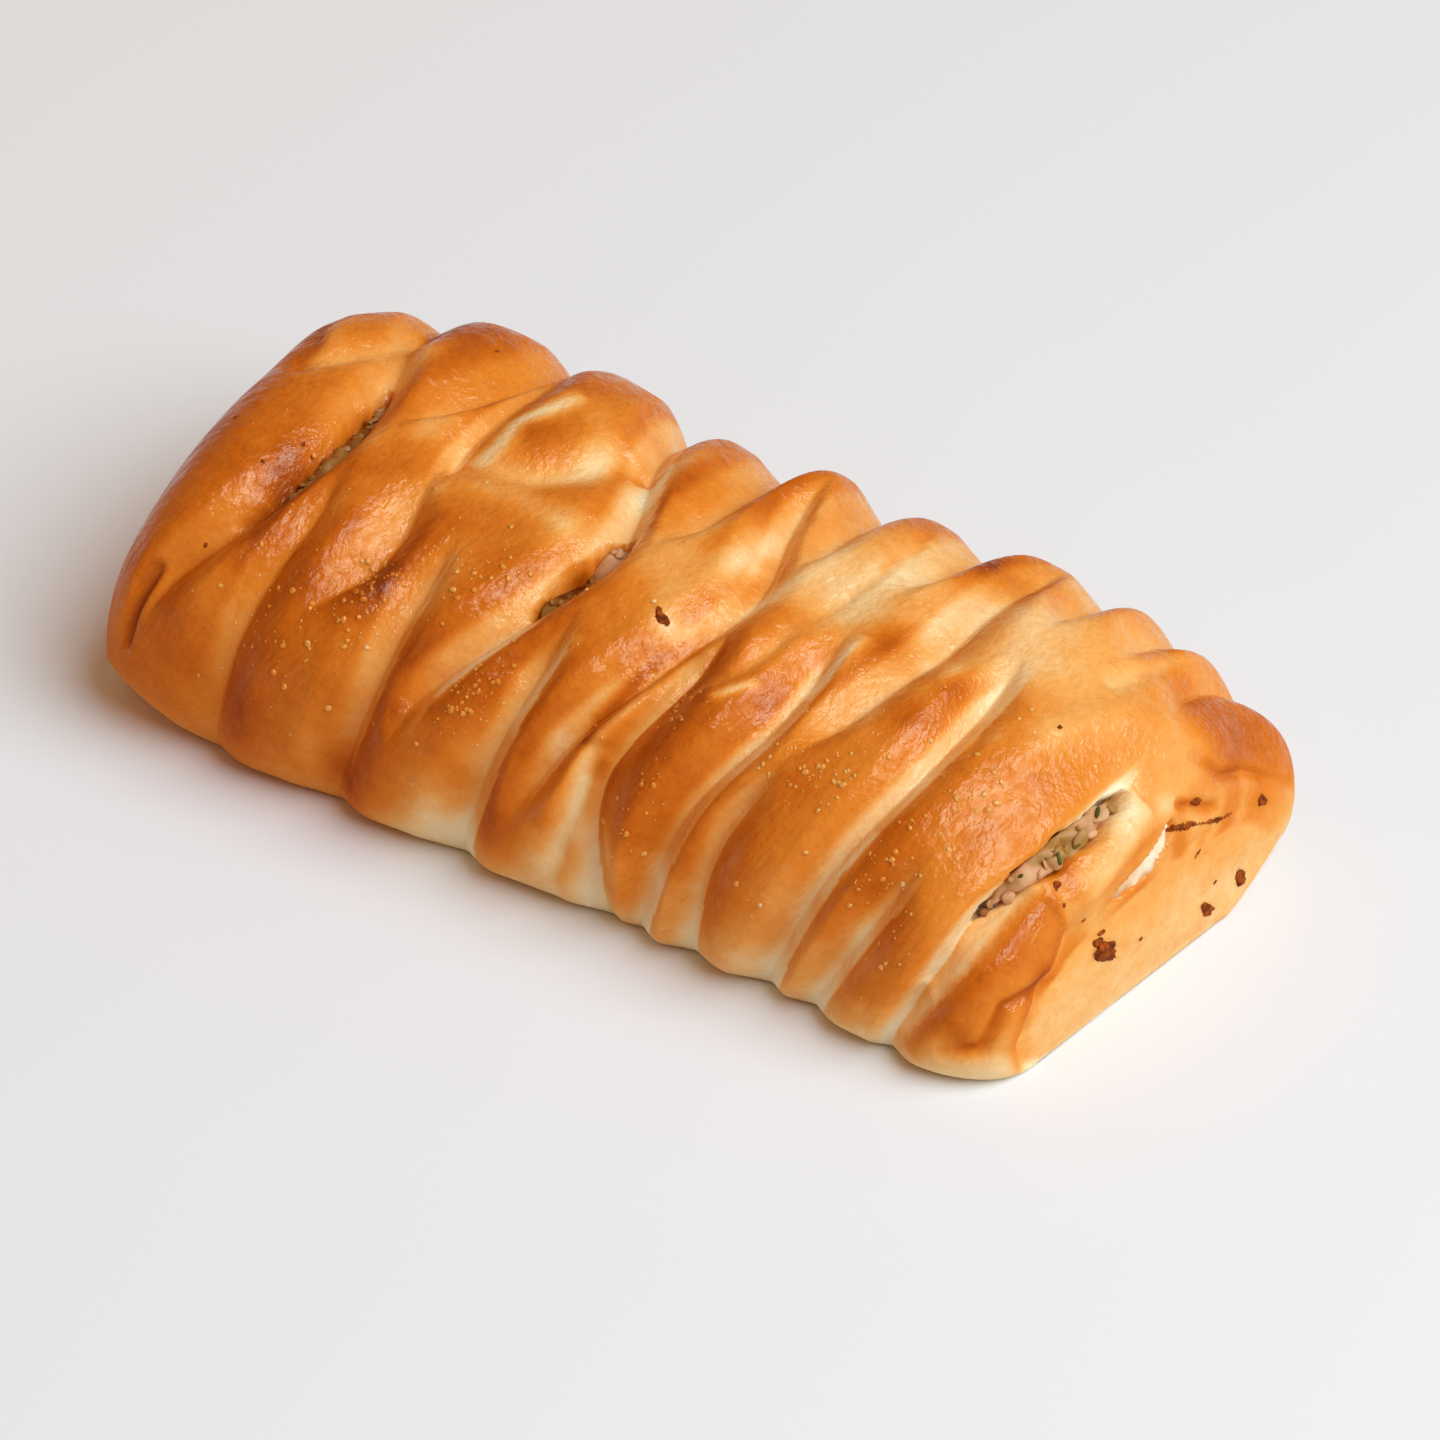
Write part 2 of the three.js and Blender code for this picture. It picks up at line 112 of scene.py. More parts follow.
def loafPoint(body, along, place):
    section = body["section"]
    y = np.interp(place, section["run"], section["y"])
    z = np.interp(place, section["run"], section["z"])

    def drawnIn(loss, run):
        left = body["left"][loss] * endTurn(along, body["halfLength"], body["left"][run])
        right = body["right"][loss] * endTurn(along, body["halfLength"], body["right"][run])
        return 1 - np.where(along < 0, left, right)

    far = np.clip(y / body["halfWidth"], 0, 1)
    low = np.clip(1 - z / body["waist"], 0, 1)
    shift = far * farSwell["out"] * hump(along, farSwell["at"], farSwell["spread"])
    for draw in footDraws:
        side = np.clip(draw["side"] * y / body["halfWidth"], 0, 1)
        shift = shift - draw["side"] * side * low * draw["inward"] * hump(along, draw["at"], draw["spread"])
    turned = np.clip((along - rightSkew["start"]) / rightSkew["run"], 0, 1)
    skew = turned * (rightSkew["perY"] * y - rightSkew["back"])
    tall = drawnIn("tallLoss", "tallRun")
    plan = np.where(y < 0, drawnIn("nearLoss", "planRun"), drawnIn("planLoss", "planRun"))
    lean = np.clip((leftLean["start"] - along) / leftLean["run"], 0, 1) * leftLean["perZ"] * z * tall
    lean = lean * np.clip(-y / leftLean["nearY"], 0, 1)
    return np.stack([along + skew + lean, y * plan + shift, body["floor"] + z * tall], -1)


def loafNormal(body, along, place, step=0.4):
    a = np.clip(along, -body["halfLength"] + step, body["halfLength"] - step)
    c = np.clip(place, step, body["section"]["run"][-1] - step)
    alongward = loafPoint(body, a + step, c) - loafPoint(body, a - step, c)
    acrossward = loafPoint(body, a, c + step) - loafPoint(body, a, c - step)
    normal = np.cross(alongward, acrossward)
    return normal / np.linalg.norm(normal, axis=-1, keepdims=True)


# The slits between the strands, left to right: where each runs along the loaf at the stations across,
# then the spans across in which it is open: from, to, depth, height of its lip, reach of its slope,
# paleness of its slope, how much of the slope is pale, and how far the pale face runs over its bottom.
# The pale face is the cut dough. Where it runs over the bottom and the foot of the lip, it is painted light
# that lightens the shade of the crease
stations = np.array([4.0, 30.0, 50.0, 70.0, 96.0, 138.0])
slits = [
    ([-71, -70.5, -61, -57, -63, -74],
     [(24, 96, 4.4, 0.8, 7, 0.3, 1.0, 0.0), (84, 165, 2.4, 0.6, 7, 0.3, 1.0, 0.0)]),
    ([-60, -55, -52, -51.5, -43, -44],
     [(-16, 64, 2.5, 0.6, 8, 0.42, 0.75, 0.7), (71, 165, 3.4, 0.8, 8, 0.3, 1.0, 0.7)]),
    ([-47, -47, -38.7, -40, -39.5, -38],
     [(34, 69, 3.8, 0.6, 7.2, 0.52, 1.0, 0.7), (60, 106, 2.4, 0.5, 4, 0.65, 1.0, 1.2)]),
    ([-37.5, -31, -29.5, -28, -27, -27],
     [(-16, 60, 3.6, 0.6, 8, 0.62, 0.9, 1.8)]),
    ([-27, -23.5, -13, -8.5, -17, -22],
     [(22, 165, 4.6, 0.6, 7.5, 0.85, 1.15, 3.1)]),
    ([-15, -8.7, -5.5, -2, 0.5, -4],
     [(-16, 55, 4.0, 0.6, 7.5, 0.75, 0.85, 2.8), (68, 165, 3.4, 1.0, 8, 0.5, 1.0, 0.7)]),
    ([-8, 0.5, 10, 15, 9, 10],
     [(15, 104, 4.4, 0.6, 7, 0.66, 0.8, 1.5)]),
    ([11, 9.8, 15.5, 17.5, 17.5, 16],
     [(-16, 66, 4.4, 0.8, 6, 0.9, 1.0, -0.3), (74, 165, 3.6, 1.0, 8, 0.6, 1.0, 0.7)]),
    ([16.5, 23.5, 31, 32, 35, 35],
     [(-16, 72, 4.0, 0.6, 5.5, 0.8, 0.9, 2.9), (78, 165, 3.2, 0.8, 8, 0.6, 1.0, 0.7)]),
    ([26, 30.5, 39, 44.5, 46.5, 47],
     [(-16, 46, 3.4, 0.6, 6, 0.7, 0.8, 1.4), (42, 112, 3.4, 0.6, 9, 0.7, 0.8, 1.0)]),
    ([39, 49, 56, 57.5, 55, 55],
     [(-16, 80, 4.2, 0.6, 5.5, 0.8, 1.1, 2.8), (84, 165, 3.2, 0.8, 8, 0.6, 1.0, 0.7)]),
    ([48, 61, 66.5, 69, 66, 66],
     [(-14, 42, 3.6, 0.5, 6.5, 0.75, 0.8, 2.4), (86, 165, 2.8, 0.6, 8, 0.5, 1.0, 0.7)]),
    ([63.5, 73.5, 78.3, 79.5, 75, 75],
     [(-14, 53, 3.6, 0.5, 2.6, 0.85, 1.0, 0.3), (44, 80, 1.6, 0.4, 2.2, 1.0, 1.0, 0.3),
      (84, 165, 3.2, 0.8, 8, 0.4, 1.0, 0.7)]),
]
strand = dict(lipRise=6.5, lipPower=2.0, lipSpread=5.0, lipGone=2.5, slopePower=1.25, taper=14.0, narrow=0.4,
              round=0.4, ridgeAt=4.5, ridgeReach=5.0)
cutFace = dict(soft=0.3, footSoft=0.5, blur=(12, 42))  # the cut faces blur towards the foot
footFade = 8.0
footGroove = dict(share=0.55, full=14.0)  # the slits run out towards the base

# Parted slits, down to the filling: which slit, from and to across, half width, depth, how brown inside; in
# the gap of slit 4 this darkness is partly painted shade
gaps = [
    dict(slit=0, offset=0.0, start=45, end=84, halfWidth=1.9, depth=9.5, bake=0.95),
    # the deep gap in slit 4: painted darkest inside, standing in part for the shade of its hole
    dict(slit=4, offset=0.3, start=51, end=73, halfWidth=2.8, depth=10.5, bake=1.0),
    dict(slit=12, offset=0.2, start=36, end=72, halfWidth=1.3, depth=9.0, bake=0.4),
]
endGap = dict(line=[(83.9, 77.5), (84.5, 74), (84.8, 69.5), (84.85, 64), (84.85, 57)],
              halfWidth=1.2, depth=5.5, bake=0.35)
# the rims of the parted slits waver a little
rim = dict(soft=0.5, endSoft=0.4, ends=0.6, shut=0.7, wave=0.2, perWave=0.7, ripple=0.06, perRipple=1.9)

# Broad swellings and hollows: (along, across), reach each way, height
swellings = [
    ((27, 73), (9, 7), -1.8), ((51, 75), (7, 6), -1.6), ((-54, 104), (9, 18), 1.8),
    ((-29, 100), (10, 16), 2.2), ((-8, 104), (6, 16), -0.3), ((8, 102), (6, 16), 1.6),
    ((46, 102), (7, 16), 1.3), ((61, 102), (4, 14), 0.4),
    ((81, 106), (6, 12), -3.0), ((-77, 92), (5, 8), 1.4),
]

# Folds and small ridges in the crust: the line they follow, half width, depth (below 0 is a ridge), and
# how much browner they are; on one this is partly painted light, on another partly painted shade
folds = [
    dict(line=[(-73, 36), (-74, 30.5), (-74.5, 24.5), (-75, 20)], halfWidth=1.1, depth=2.6, browner=0.25),
    dict(line=[(-74, 77), (-69, 83), (-65, 90), (-63, 98)], halfWidth=2.6, depth=2.0, browner=-0.25),
    dict(line=[(-17, 86), (-13, 90)], halfWidth=0.8, depth=1.0, browner=0.2),
    # a small step whose shadow is painted: the groove is browner as painted shade
    dict(line=[(25, 67), (27, 73.5), (29, 82.5), (29, 94.5), (26, 107)],
         halfWidth=0.9, depth=0.7, browner=0.1),
    dict(line=[(14.5, 56.5), (11.5, 44), (9, 33.5)], halfWidth=1.1, depth=1.2, browner=-0.1),
    dict(line=[(2, 0), (4, 15), (6, 26), (7, 36)], halfWidth=1.6, depth=2.0, browner=-0.4),
    dict(line=[(20, 50), (22, 53), (24, 58), (25, 66)], halfWidth=1.5, depth=1.3, browner=-0.2),
    dict(line=[(61, 62), (61, 56.5)], halfWidth=0.7, depth=0.9, browner=-0.05),
    dict(line=[(66.5, 58), (69, 69.5), (72.5, 79.5), (78, 87)], halfWidth=3.0, depth=-1.2, browner=0.0),
    dict(line=[(69, 82), (70, 94), (69, 103.5)], halfWidth=2.0, depth=1.4, browner=-0.15),
    dict(line=[(74.5, 10.8), (81.2, 14.4), (83, 26.8), (84.4, 31.6), (84.9, 38)],
         halfWidth=1.3, depth=1.3, browner=0.26),
    dict(line=[(79, 47), (77.6, 39), (76, 33), (73.8, 27), (70.5, 19.5)],
         halfWidth=2.5, depth=2.2, browner=-0.28),
    dict(line=[(-40, 71), (-33, 73.5), (-27, 75.5), (-21, 81), (-18.5, 90)],
         halfWidth=3.8, depth=2.6, browner=-0.36),
    dict(line=[(80.5, 86), (83.6, 93), (84.2, 105), (84, 125)], halfWidth=1.0, depth=1.2, browner=0.08),
    # the cross strand at the right end: paler dough, and paler still as painted light on its rounded side
    # facing the lamp
    dict(line=[(81.6, 73), (82.4, 65), (83.0, 57), (83.2, 47)], halfWidth=3.6, depth=-2.4, browner=-0.36),
    dict(line=[(83.2, 79), (84.2, 84), (84.8, 92)], halfWidth=1.0, depth=1.2, browner=0.35),
]

# Narrow browner and paler lines of the crust, some of them painted light and shade: the line they follow,
# half width, how much browner
streaks = [
    # browner dough of strand N8 and painted shade: the dark line of the shaded crease beside it
    dict(line=[(11.2, 58.5), (10.2, 55.4), (9, 52.4), (6.6, 43.6), (5, 39.2), (4.8, 34)],
         halfWidth=1.3, browner=0.5),
    dict(line=[(7.4, 29), (9.4, 37.6), (11, 43.2), (12, 51.2), (12.8, 57), (13.6, 61)],
         halfWidth=1.4, browner=0.34),
    # painted highlight: a pale streak for the glint on the upper edge of strand N9
    dict(line=[(21.3, 48), (24.2, 51.2), (26.3, 53.6)], halfWidth=0.8, browner=-0.5),
    dict(line=[(-37, 73), (-35.2, 77.4), (-36, 82.6), (-33.8, 85.8), (-32.4, 89), (-31, 93)],
         halfWidth=1.9, browner=-0.66),
    # painted light: paler on the lip's wall that faces away from the lamp, to lighten its shade
    dict(line=[(32.2, 56), (33, 58), (34.2, 61.6), (34.6, 65.6), (35, 70)], halfWidth=1.5, browner=-0.35),
    dict(line=[(-7.4, 31), (-5.4, 38.4), (-4, 44), (-2.6, 50)], halfWidth=1.3, browner=-0.34),
    dict(line=[(-20, 32), (-16.6, 39.2), (-13.6, 45), (-11.2, 50)], halfWidth=1.4, browner=-0.46),
    dict(line=[(49, 26), (53, 33.6), (55.2, 40)], halfWidth=1.4, browner=-0.3),
    dict(line=[(-35, 66), (-28, 69), (-20, 68), (-13, 66)], halfWidth=2.6, browner=-0.22),
]

# Edges where one sheet of dough ends on another: the line, the step, how far the lower side dips, which
# side is the upper one, how brown the lower and the upper side are, and how far that reaches. On the torn
# flake, the dark lower side is partly painted shade
edges = [
    dict(line=[(80.3, 50), (82.5, 48.6), (84.2, 47), (84.8, 41), (84.92, 33), (84.92, 17), (84.8, 3)],
         step=1.5, back=5.0, side=-1, low=0.42, high=0.78, reach=2.0),
    dict(line=[(80.6, 49.4), (80.3, 46), (80.1, 41), (78.9, 34), (75.6, 24), (67.5, 8)],
         step=1.5, back=2.5, side=1, low=0.14, high=0.84, reach=3.0),
    # the torn flake at the left end: the torn inner wall below the edge is browned dough and painted shade,
    # darkest along the edge
    dict(line=[(-71.5, 77.5), (-73.4, 80.4), (-73.2, 84.4), (-75.4, 90), (-74.5, 96)],
         step=1.2, back=2.2, side=-1, low=0.92, high=0.48, reach=4.0),
]
edgeSoft = 0.8
lineEnds = dict(fold=0.4, step=0.5, edgePaint=0.3)  # how bluntly folds and edges run out


def slitAlong(line, place):
    at, x = stations, np.array(line, float)
    s = np.clip(place, at[0], at[-1])
    k = np.clip(np.searchsorted(at, s) - 1, 0, len(at) - 2)
    pitch = np.empty_like(x)
    pitch[1:-1] = (x[2:] - x[:-2]) / (at[2:] - at[:-2])
    pitch[0] = (x[1] - x[0]) / (at[1] - at[0])
    pitch[-1] = (x[-1] - x[-2]) / (at[-1] - at[-2])
    run = at[k + 1] - at[k]
    t = (s - at[k]) / run
    bend = t * (1 - t) ** 2 * run * pitch[k] + t * t * (t - 1) * run * pitch[k + 1]
    return x[k] + (x[k + 1] - x[k]) * t * t * (3 - 2 * t) + bend


def lineAway(line, base, normal):
    # signed distance to a line drawn on the loaf, and how far along the line as a share
    nodes = loafPoint(crust, np.array([p[0] for p in line], float), np.array([p[1] for p in line], float))
    lengths = np.linalg.norm(np.diff(nodes, axis=0), axis=1)
    best = np.full(base.shape[:-1], 1e6)
    sign, share = np.ones(base.shape[:-1]), np.zeros(base.shape[:-1])
    done = 0.0
    for start, end, length in zip(nodes, nodes[1:], lengths):
        way = (end - start) / length
        u = np.clip((base - start) @ way, 0, length)
        off = base - start - u[..., None] * way
        away = np.linalg.norm(off, axis=-1)
        closer = away < best
        best = np.where(closer, away, best)
        sign = np.where(closer, np.sign((np.cross(way, off) * normal).sum(-1)), sign)
        share = np.where(closer, np.minimum((done + u) / lengths.sum(), 1), share)
        done += length
    return best * sign, share


def gapShare(along, place, base, normal):
    # 1 inside a parted slit, 0 outside, with the depth and the browning there
    inside, depth, bake = np.zeros_like(along), np.zeros_like(along), np.zeros_like(along)

    def part(away, t, gap, soft):
        width = gap["halfWidth"] * tapered(t, rim["ends"])
        share = (1 - smoothStep(width - soft, width + soft, np.abs(away))) * smoothStep(0, rim["shut"], width)
        bake[:] = np.where(share > inside, gap["bake"], bake)
        depth[:] = np.maximum(depth, share * gap["depth"])
        inside[:] = np.maximum(inside, share)

    for gap in gaps:
        away = along - slitAlong(slits[gap["slit"]][0], place) - gap["offset"]
        away = away + rim["wave"] * np.sin(rim["perWave"] * place + gap["slit"])
        away = away + rim["ripple"] * np.sin(rim["perRipple"] * place)
        part(away, np.clip((place - gap["start"]) / (gap["end"] - gap["start"]), 0, 1), gap, rim["soft"])
    away, t = lineAway(endGap["line"], base, normal)
    part(away, t, endGap, rim["endSoft"])
    return inside, depth, bake


def slitForm(along, place):
    # the grooves of all the slits together, their lips, and how much each place is slope or ridge
    groove, lips = np.zeros_like(along), np.zeros_like(along)
    slope, ridge = np.zeros_like(along), np.zeros_like(along)
    soft = cutFace["soft"] + cutFace["footSoft"] * (1 - smoothStep(*cutFace["blur"], place))
    for line, spans in slits:
        away = along - slitAlong(line, place)
        far = np.hypot(away, strand["round"]) - strand["round"]
        for start, end, depth, lip, reach, pale, share, over in spans:
            taper = strand["taper"]
            wide = smoothStep(start, start + taper, place) * (1 - smoothStep(end - taper, end, place))
            narrow = strand["narrow"] + (1 - strand["narrow"]) * wide
            down = np.clip(1 - far / (reach * narrow), 0, 1) * (away < 0)
            up = np.clip(1 - far / (strand["lipRise"] * narrow), 0, 1) * (away >= 0)
            groove += (depth * wide * (down ** strand["slopePower"] + up ** strand["lipPower"])) ** 3
            lips += lip * wide * hump(away, strand["lipRise"] * narrow, strand["lipSpread"])
            # the pale face reaches 'over' past the slit line: painted light over the shaded bottom of the
            # crease
            beside = over - away
            face = np.clip(1 - beside / (reach * narrow * share), 0, 1) * (beside > 0)
            slope = np.maximum(slope, pale * wide * smoothStep(0, 1, face / soft))
            ridge = np.maximum(ridge, wide * hump(away, strand["ridgeAt"], strand["ridgeReach"]) * (away > 0))
    return np.cbrt(groove), lips, slope, ridge


def relief(along, place, base, normal):
    groove, lips = slitForm(along, place)[:2]
    full = smoothStep(0, footGroove["full"], base[..., 2])
    groove = groove * (footGroove["share"] + (1 - footGroove["share"]) * full)
    height = spotSum(swellings, along, place)
    inside, depth, _ = gapShare(along, place, base, normal)
    height += lips * (1 - np.clip(groove / strand["lipGone"], 0, 1)) * (1 - inside)
    height -= np.maximum(groove, depth)
    for fold in folds:
        away, t = lineAway(fold["line"], base, normal)
        height -= fold["depth"] * hump(away, 0, fold["halfWidth"]) * tapered(t, lineEnds["fold"])
    for edge in edges:
        away, t = lineAway(edge["line"], base, normal)
        away = away * edge["side"]
        low = (1 - smoothStep(-edgeSoft, edgeSoft, away)) * np.exp(np.minimum(away, 0) / edge["back"])
        height -= edge["step"] * low * tapered(t, lineEnds["step"])
    return height


def crustPoint(along, place):
    base, normal = loafPoint(crust, along, place), loafNormal(crust, along, place)
    height = relief(along, place, base, normal)
    normal[..., 2] *= smoothStep(0, footFade, base[..., 2])
    point = base + normal * height[..., None]
    point[..., 2] = np.maximum(point[..., 2], 0)
    return point


def toFrame(points):
    return (np.asarray(points) - frameShift) * mm


# Meshes
def finishMesh(name, mesh, paint, node=None):
    mesh.polygons.foreach_set("use_smooth", np.ones(len(mesh.polygons), bool))
    mesh.materials.append(paint)
    piece = bpy.data.objects.new(name, mesh)
    bpy.context.scene.collection.objects.link(piece)
    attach(piece, "root")
    if node:
        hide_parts(node)
    print(name, len(mesh.polygons), "faces")
    return piece


def wrapSphere(name, rings, poles):
    # a round ball with one ring for each row, its poles at the two ends of the loaf
    count, around = rings.shape[:2]
    bm = bmesh.new()
    bmesh.ops.create_uvsphere(bm, u_segments=around, v_segments=count + 1, radius=1.0)
    unit = np.array([v.co for v in bm.verts])
    mesh = bpy.data.meshes.new(name)
    bm.to_mesh(mesh)
    bm.free()
    ring = np.rint(np.arccos(np.clip(unit[:, 2], -1, 1)) * (count + 1) / math.pi).astype(int)
    turn = np.rint(np.arctan2(unit[:, 1], unit[:, 0]) * around / (2 * math.pi)).astype(int) % around
    points = rings[np.clip(ring, 1, count) - 1, turn]
    points[ring == 0] = poles[0]
    points[ring > count] = poles[1]
    mesh.vertices.foreach_set("co", toFrame(points).ravel().astype(np.float32))
    mesh.update()
    return mesh, np.clip(ring, 1, count) - 1, turn


def loafRings(body, rows, overTop, around, surface):
    # rows of points from end to end, over the top and back underneath
    place = np.linspace(0, body["section"]["run"][-1], overTop)
    along = np.stack([row(place) for row in rows])
    across = np.broadcast_to(place, along.shape)
    over = surface(along, across)
    back = np.linspace(0, 1, around - overTop + 2)[1:-1, None]

    def closed(points):
        under = points[:, -1:, :] * (1 - back) + points[:, :1, :] * back
        return np.concatenate([points, under], 1)

    ends = closed(loafPoint(body, along[[0, -1]], across[[0, -1]]))
    return closed(over), ends, along, across


def capRings(body, edge, plain, side, count):
    # the end is closed towards its middle, and the relief of its edge dies out on the way
    middle = plain.mean(0)
    middle[2] = body["floor"] + endCentreZ
    caps = []
    for share in np.linspace(1, 0, count + 1)[1:]:
        ring = middle + (plain - middle) * share + (edge - plain) * share ** endFade
        ring[:, 0] += side * body["endBulge"] * (1 - share * share)
        caps.append(ring)
    return np.stack(caps[:-1]), caps[-1][0]


def setFloat(mesh, name, values):
    layer = mesh.attributes.new(name, "FLOAT", "POINT")
    layer.data.foreach_set("value", np.asarray(values, np.float32))


# Dough
dough = dict(around=232, overTop=212, leftRows=30, strandRows=26, rightRows=46, leftCap=8, rightCap=24,
             closer=0.5, underBake=0.3, glazed=(0.1, 0.6))

# How brown the crust is before its lines and patches, 0 is pale dough and 1 is dark: the left end is
# browned down to its foot, and the cut faces of the left foot and of the far side are less pale
baking = dict(plain=0.71, ridge=0.12, slope=0.42, rightward=0.12, right=(-20, 70),
              foot=0.46, footRise=(1, 14), farSlope=0.6, far=(104, 132),
              left=(-36, -22), leftFoot=0.65, leftSlope=0.9, leftRise=(6, 24))

# Browner and paler patches of the crust, left to right, a few of them painted shade: (along, across), reach
# each way, how much browner
patches = [
    ((-79, 24), (5, 8), -0.1), ((-74, 58), (8, 16), 0.10), ((-69, 81), (3, 4), -0.14),
    ((-67, 50), (4, 6), 0.05), ((-64, 30), (10, 14), 0.08), ((-63, 38), (4, 8), -0.2),
    ((-62, 58.5), (2.5, 8), 0.34), ((-58.5, 86), (3, 7), -0.45), ((-56, 48), (4, 8), 0.18),
    ((-54, 98), (7, 7), 0.10), ((-52.6, 69), (3, 4), -0.36), ((-49.5, 53), (2.5, 5), -0.14),
    ((-46.5, 76.5), (3.5, 6), -0.36), ((-45, 41), (3, 4), 0.14), ((-40, 15), (3, 5), -0.2),
    # (-37, 45.5): the browned lip of N4, darkened further as painted shade where it faces away from the lamp
    ((-37, 45.5), (5.5, 7.5), 0.2), ((-37, 64), (2.5, 5), -0.22), ((-36, 11), (4, 5), 0.2),
    ((-27, 48), (3, 7), -0.4), ((-26, 91), (4, 4), -0.16), ((-25, 37), (2.5, 8), 0.1),
    ((-22, 85), (3.5, 5), -0.22), ((-19.4, 98), (2.5, 4), 0.16), ((-18, 12), (5, 8), -0.36),
    ((-17, 85.5), (2.5, 5), 0.34), ((-16, 38), (8, 9), 0.06), ((-16, 67), (3.5, 6), -0.25),
    # (-11.2, 62): painted shade, a dark spot standing for the hole at the rim of strand N5
    ((-12.6, 25.6), (2.5, 4), -0.18), ((-11.5, 88), (3, 8), -0.52), ((-11.2, 62), (1.2, 2.5), 0.5),
    ((-6, 84), (4, 10), 0.10), ((-1, 69), (7, 8), -0.34), ((0.2, 33.6), (2, 4), -0.2),
    ((1.2, 13.5), (3, 6), -0.28), ((1.5, 27), (2.5, 4), -0.12), ((2.5, 80), (3, 5), -0.4),
    ((4, 44), (3, 5), -0.15), ((5.5, 77), (2, 4), 0.15), ((6, 62), (3, 5), -0.2),
    ((6.5, 85), (2.5, 5), 0.08), ((7.4, 25), (1.8, 4), 0.2), ((8, 57.5), (2.2, 2.2), -0.35),
    ((8.4, 31), (1.8, 4), 0.22), ((8.6, 82), (3, 5), -0.25), ((9.5, 74), (2.6, 6), -0.4),
    ((9.8, 14), (2, 4), -0.2), ((10, 95), (3, 8), -0.18), ((12, 40), (3, 16), -0.09),
    ((12, 79), (1.8, 3), 0.18), ((12.6, 100), (3, 4), 0.15), ((13, 18), (3, 6), -0.34),
    ((13, 71.5), (2.5, 4), 0.25), ((14.5, 74), (2.5, 3.5), 0.15), ((16.8, 70.5), (2.0, 5), -0.46),
    ((19, 40), (6, 15), 0.13), ((19, 74), (3.5, 6), -0.26), ((21, 86), (3.5, 8), -0.4),
    ((22, 16), (5, 5), -0.34), ((28, 84), (7, 14), -0.24), ((28.9, 52), (2.5, 4), 0.2),
    ((29.5, 82), (4, 6), -0.15), ((30, 74), (14, 7), -0.22), ((33, 42), (4, 8), -0.18),
    ((36, 14), (5, 5), -0.24), ((38, 85), (4, 6), -0.2), ((39, 71), (4.5, 5), 0.42),
    ((40, 43), (6, 6), 0.10), ((43, 24), (4, 6), -0.12), ((44, 97), (8, 5), 0.26),
    ((44, 56), (2.5, 5), -0.24), ((45, 77), (3, 4.5), 0.22), ((48.5, 63), (3, 3.5), -0.16),
    ((50, 88), (4, 5), -0.24), ((50, 16), (5, 6), -0.26), ((50.3, 69), (1.6, 3), -0.35),
    ((50.5, 57.5), (3, 4.5), 0.2), ((52, 64), (5, 6), 0.04), ((52.5, 67), (2.2, 4), 0.25),
    ((54, 85), (4, 5), -0.2), ((55, 76), (12, 8), -0.30), ((57.5, 22), (3.5, 5), -0.26),
    ((58, 92), (4, 6), -0.18), ((58, 47.5), (2.5, 5), -0.18), ((59, 35), (5, 12), 0.14),
    ((62.6, 61.2), (2, 3.5), -0.2), ((66, 86), (10, 14), -0.10), ((68, 68), (3, 4), -0.2),
    ((70, 50), (3, 8), 0.14), ((70, 55), (3, 5), -0.1), ((71.5, 61), (3, 5), 0.12),
    ((71.5, 76), (5, 5), -0.08), ((72, 14), (3, 5), -0.2), ((73, 97), (4, 6), 0.2),
    ((79, 15), (2.5, 3.5), 0.26), ((80, 108), (5, 12), 0.04), ((80, 84), (4, 8), -0.16),
    ((80, 69), (2, 5), -0.4), ((80.4, 54), (0.8, 3), 0.3), ((82.2, 51.5), (1.5, 2.5), 0.25),
    ((82.8, 76.5), (1.2, 4), -0.28), ((83, 104), (5, 12), 0.16),
]

# The end wall is paler than the crust, but for the lobe at its far top. The browning of the crust runs
# onto it a little way: at which places across, and by what share of the way to the wall's middle
wall = dict(start=(83.6, 84.5), low=(47, 53), bake=0.34, topMore=0.18, top=(6, 24),
            lobe=0.85, lobeNear=(80, 90), lobeFar=(124, 134), soft=(-0.02, 0.04))
wallReach = [(40, 0.05), (48, 0.0), (54, 0.04), (70, 0.04), (74, 0.0), (84, 0.12), (130, 0.12)]
wallPatches = [
    ((85, 64), (1.0, 9), 0.32), ((84.9, 79), (0.9, 3.5), 0.3), ((85, 104), (1.2, 4), -0.18),
    ((84.9, 91.6), (1, 3), -0.16), ((85, 37), (0.8, 4), 0.2),
]


def strandRows():
    rows = []
    half = crust["halfLength"]
    for i in range(dough["leftRows"]):
        share = 1 - math.cos(i / dough["leftRows"] * math.pi / 2)
        rows.append(lambda s, share=share: -half + share * (slitAlong(slits[0][0], s) + half))
    for (left, _), (right, _) in zip(slits, slits[1:]):
        for i in range(dough["strandRows"]):
            t = i / dough["strandRows"]
            share = t - dough["closer"] * math.sin(2 * math.pi * t) / (2 * math.pi)  # closer beside the slits

            def row(s, left=left, right=right, share=share):
                return (1 - share) * slitAlong(left, s) + share * slitAlong(right, s)

            rows.append(row)
    for i in range(dough["rightRows"] + 1):
        share = math.sin(i / dough["rightRows"] * math.pi / 2)
        rows.append(lambda s, share=share: (1 - share) * slitAlong(slits[-1][0], s) + share * half)
    return rows


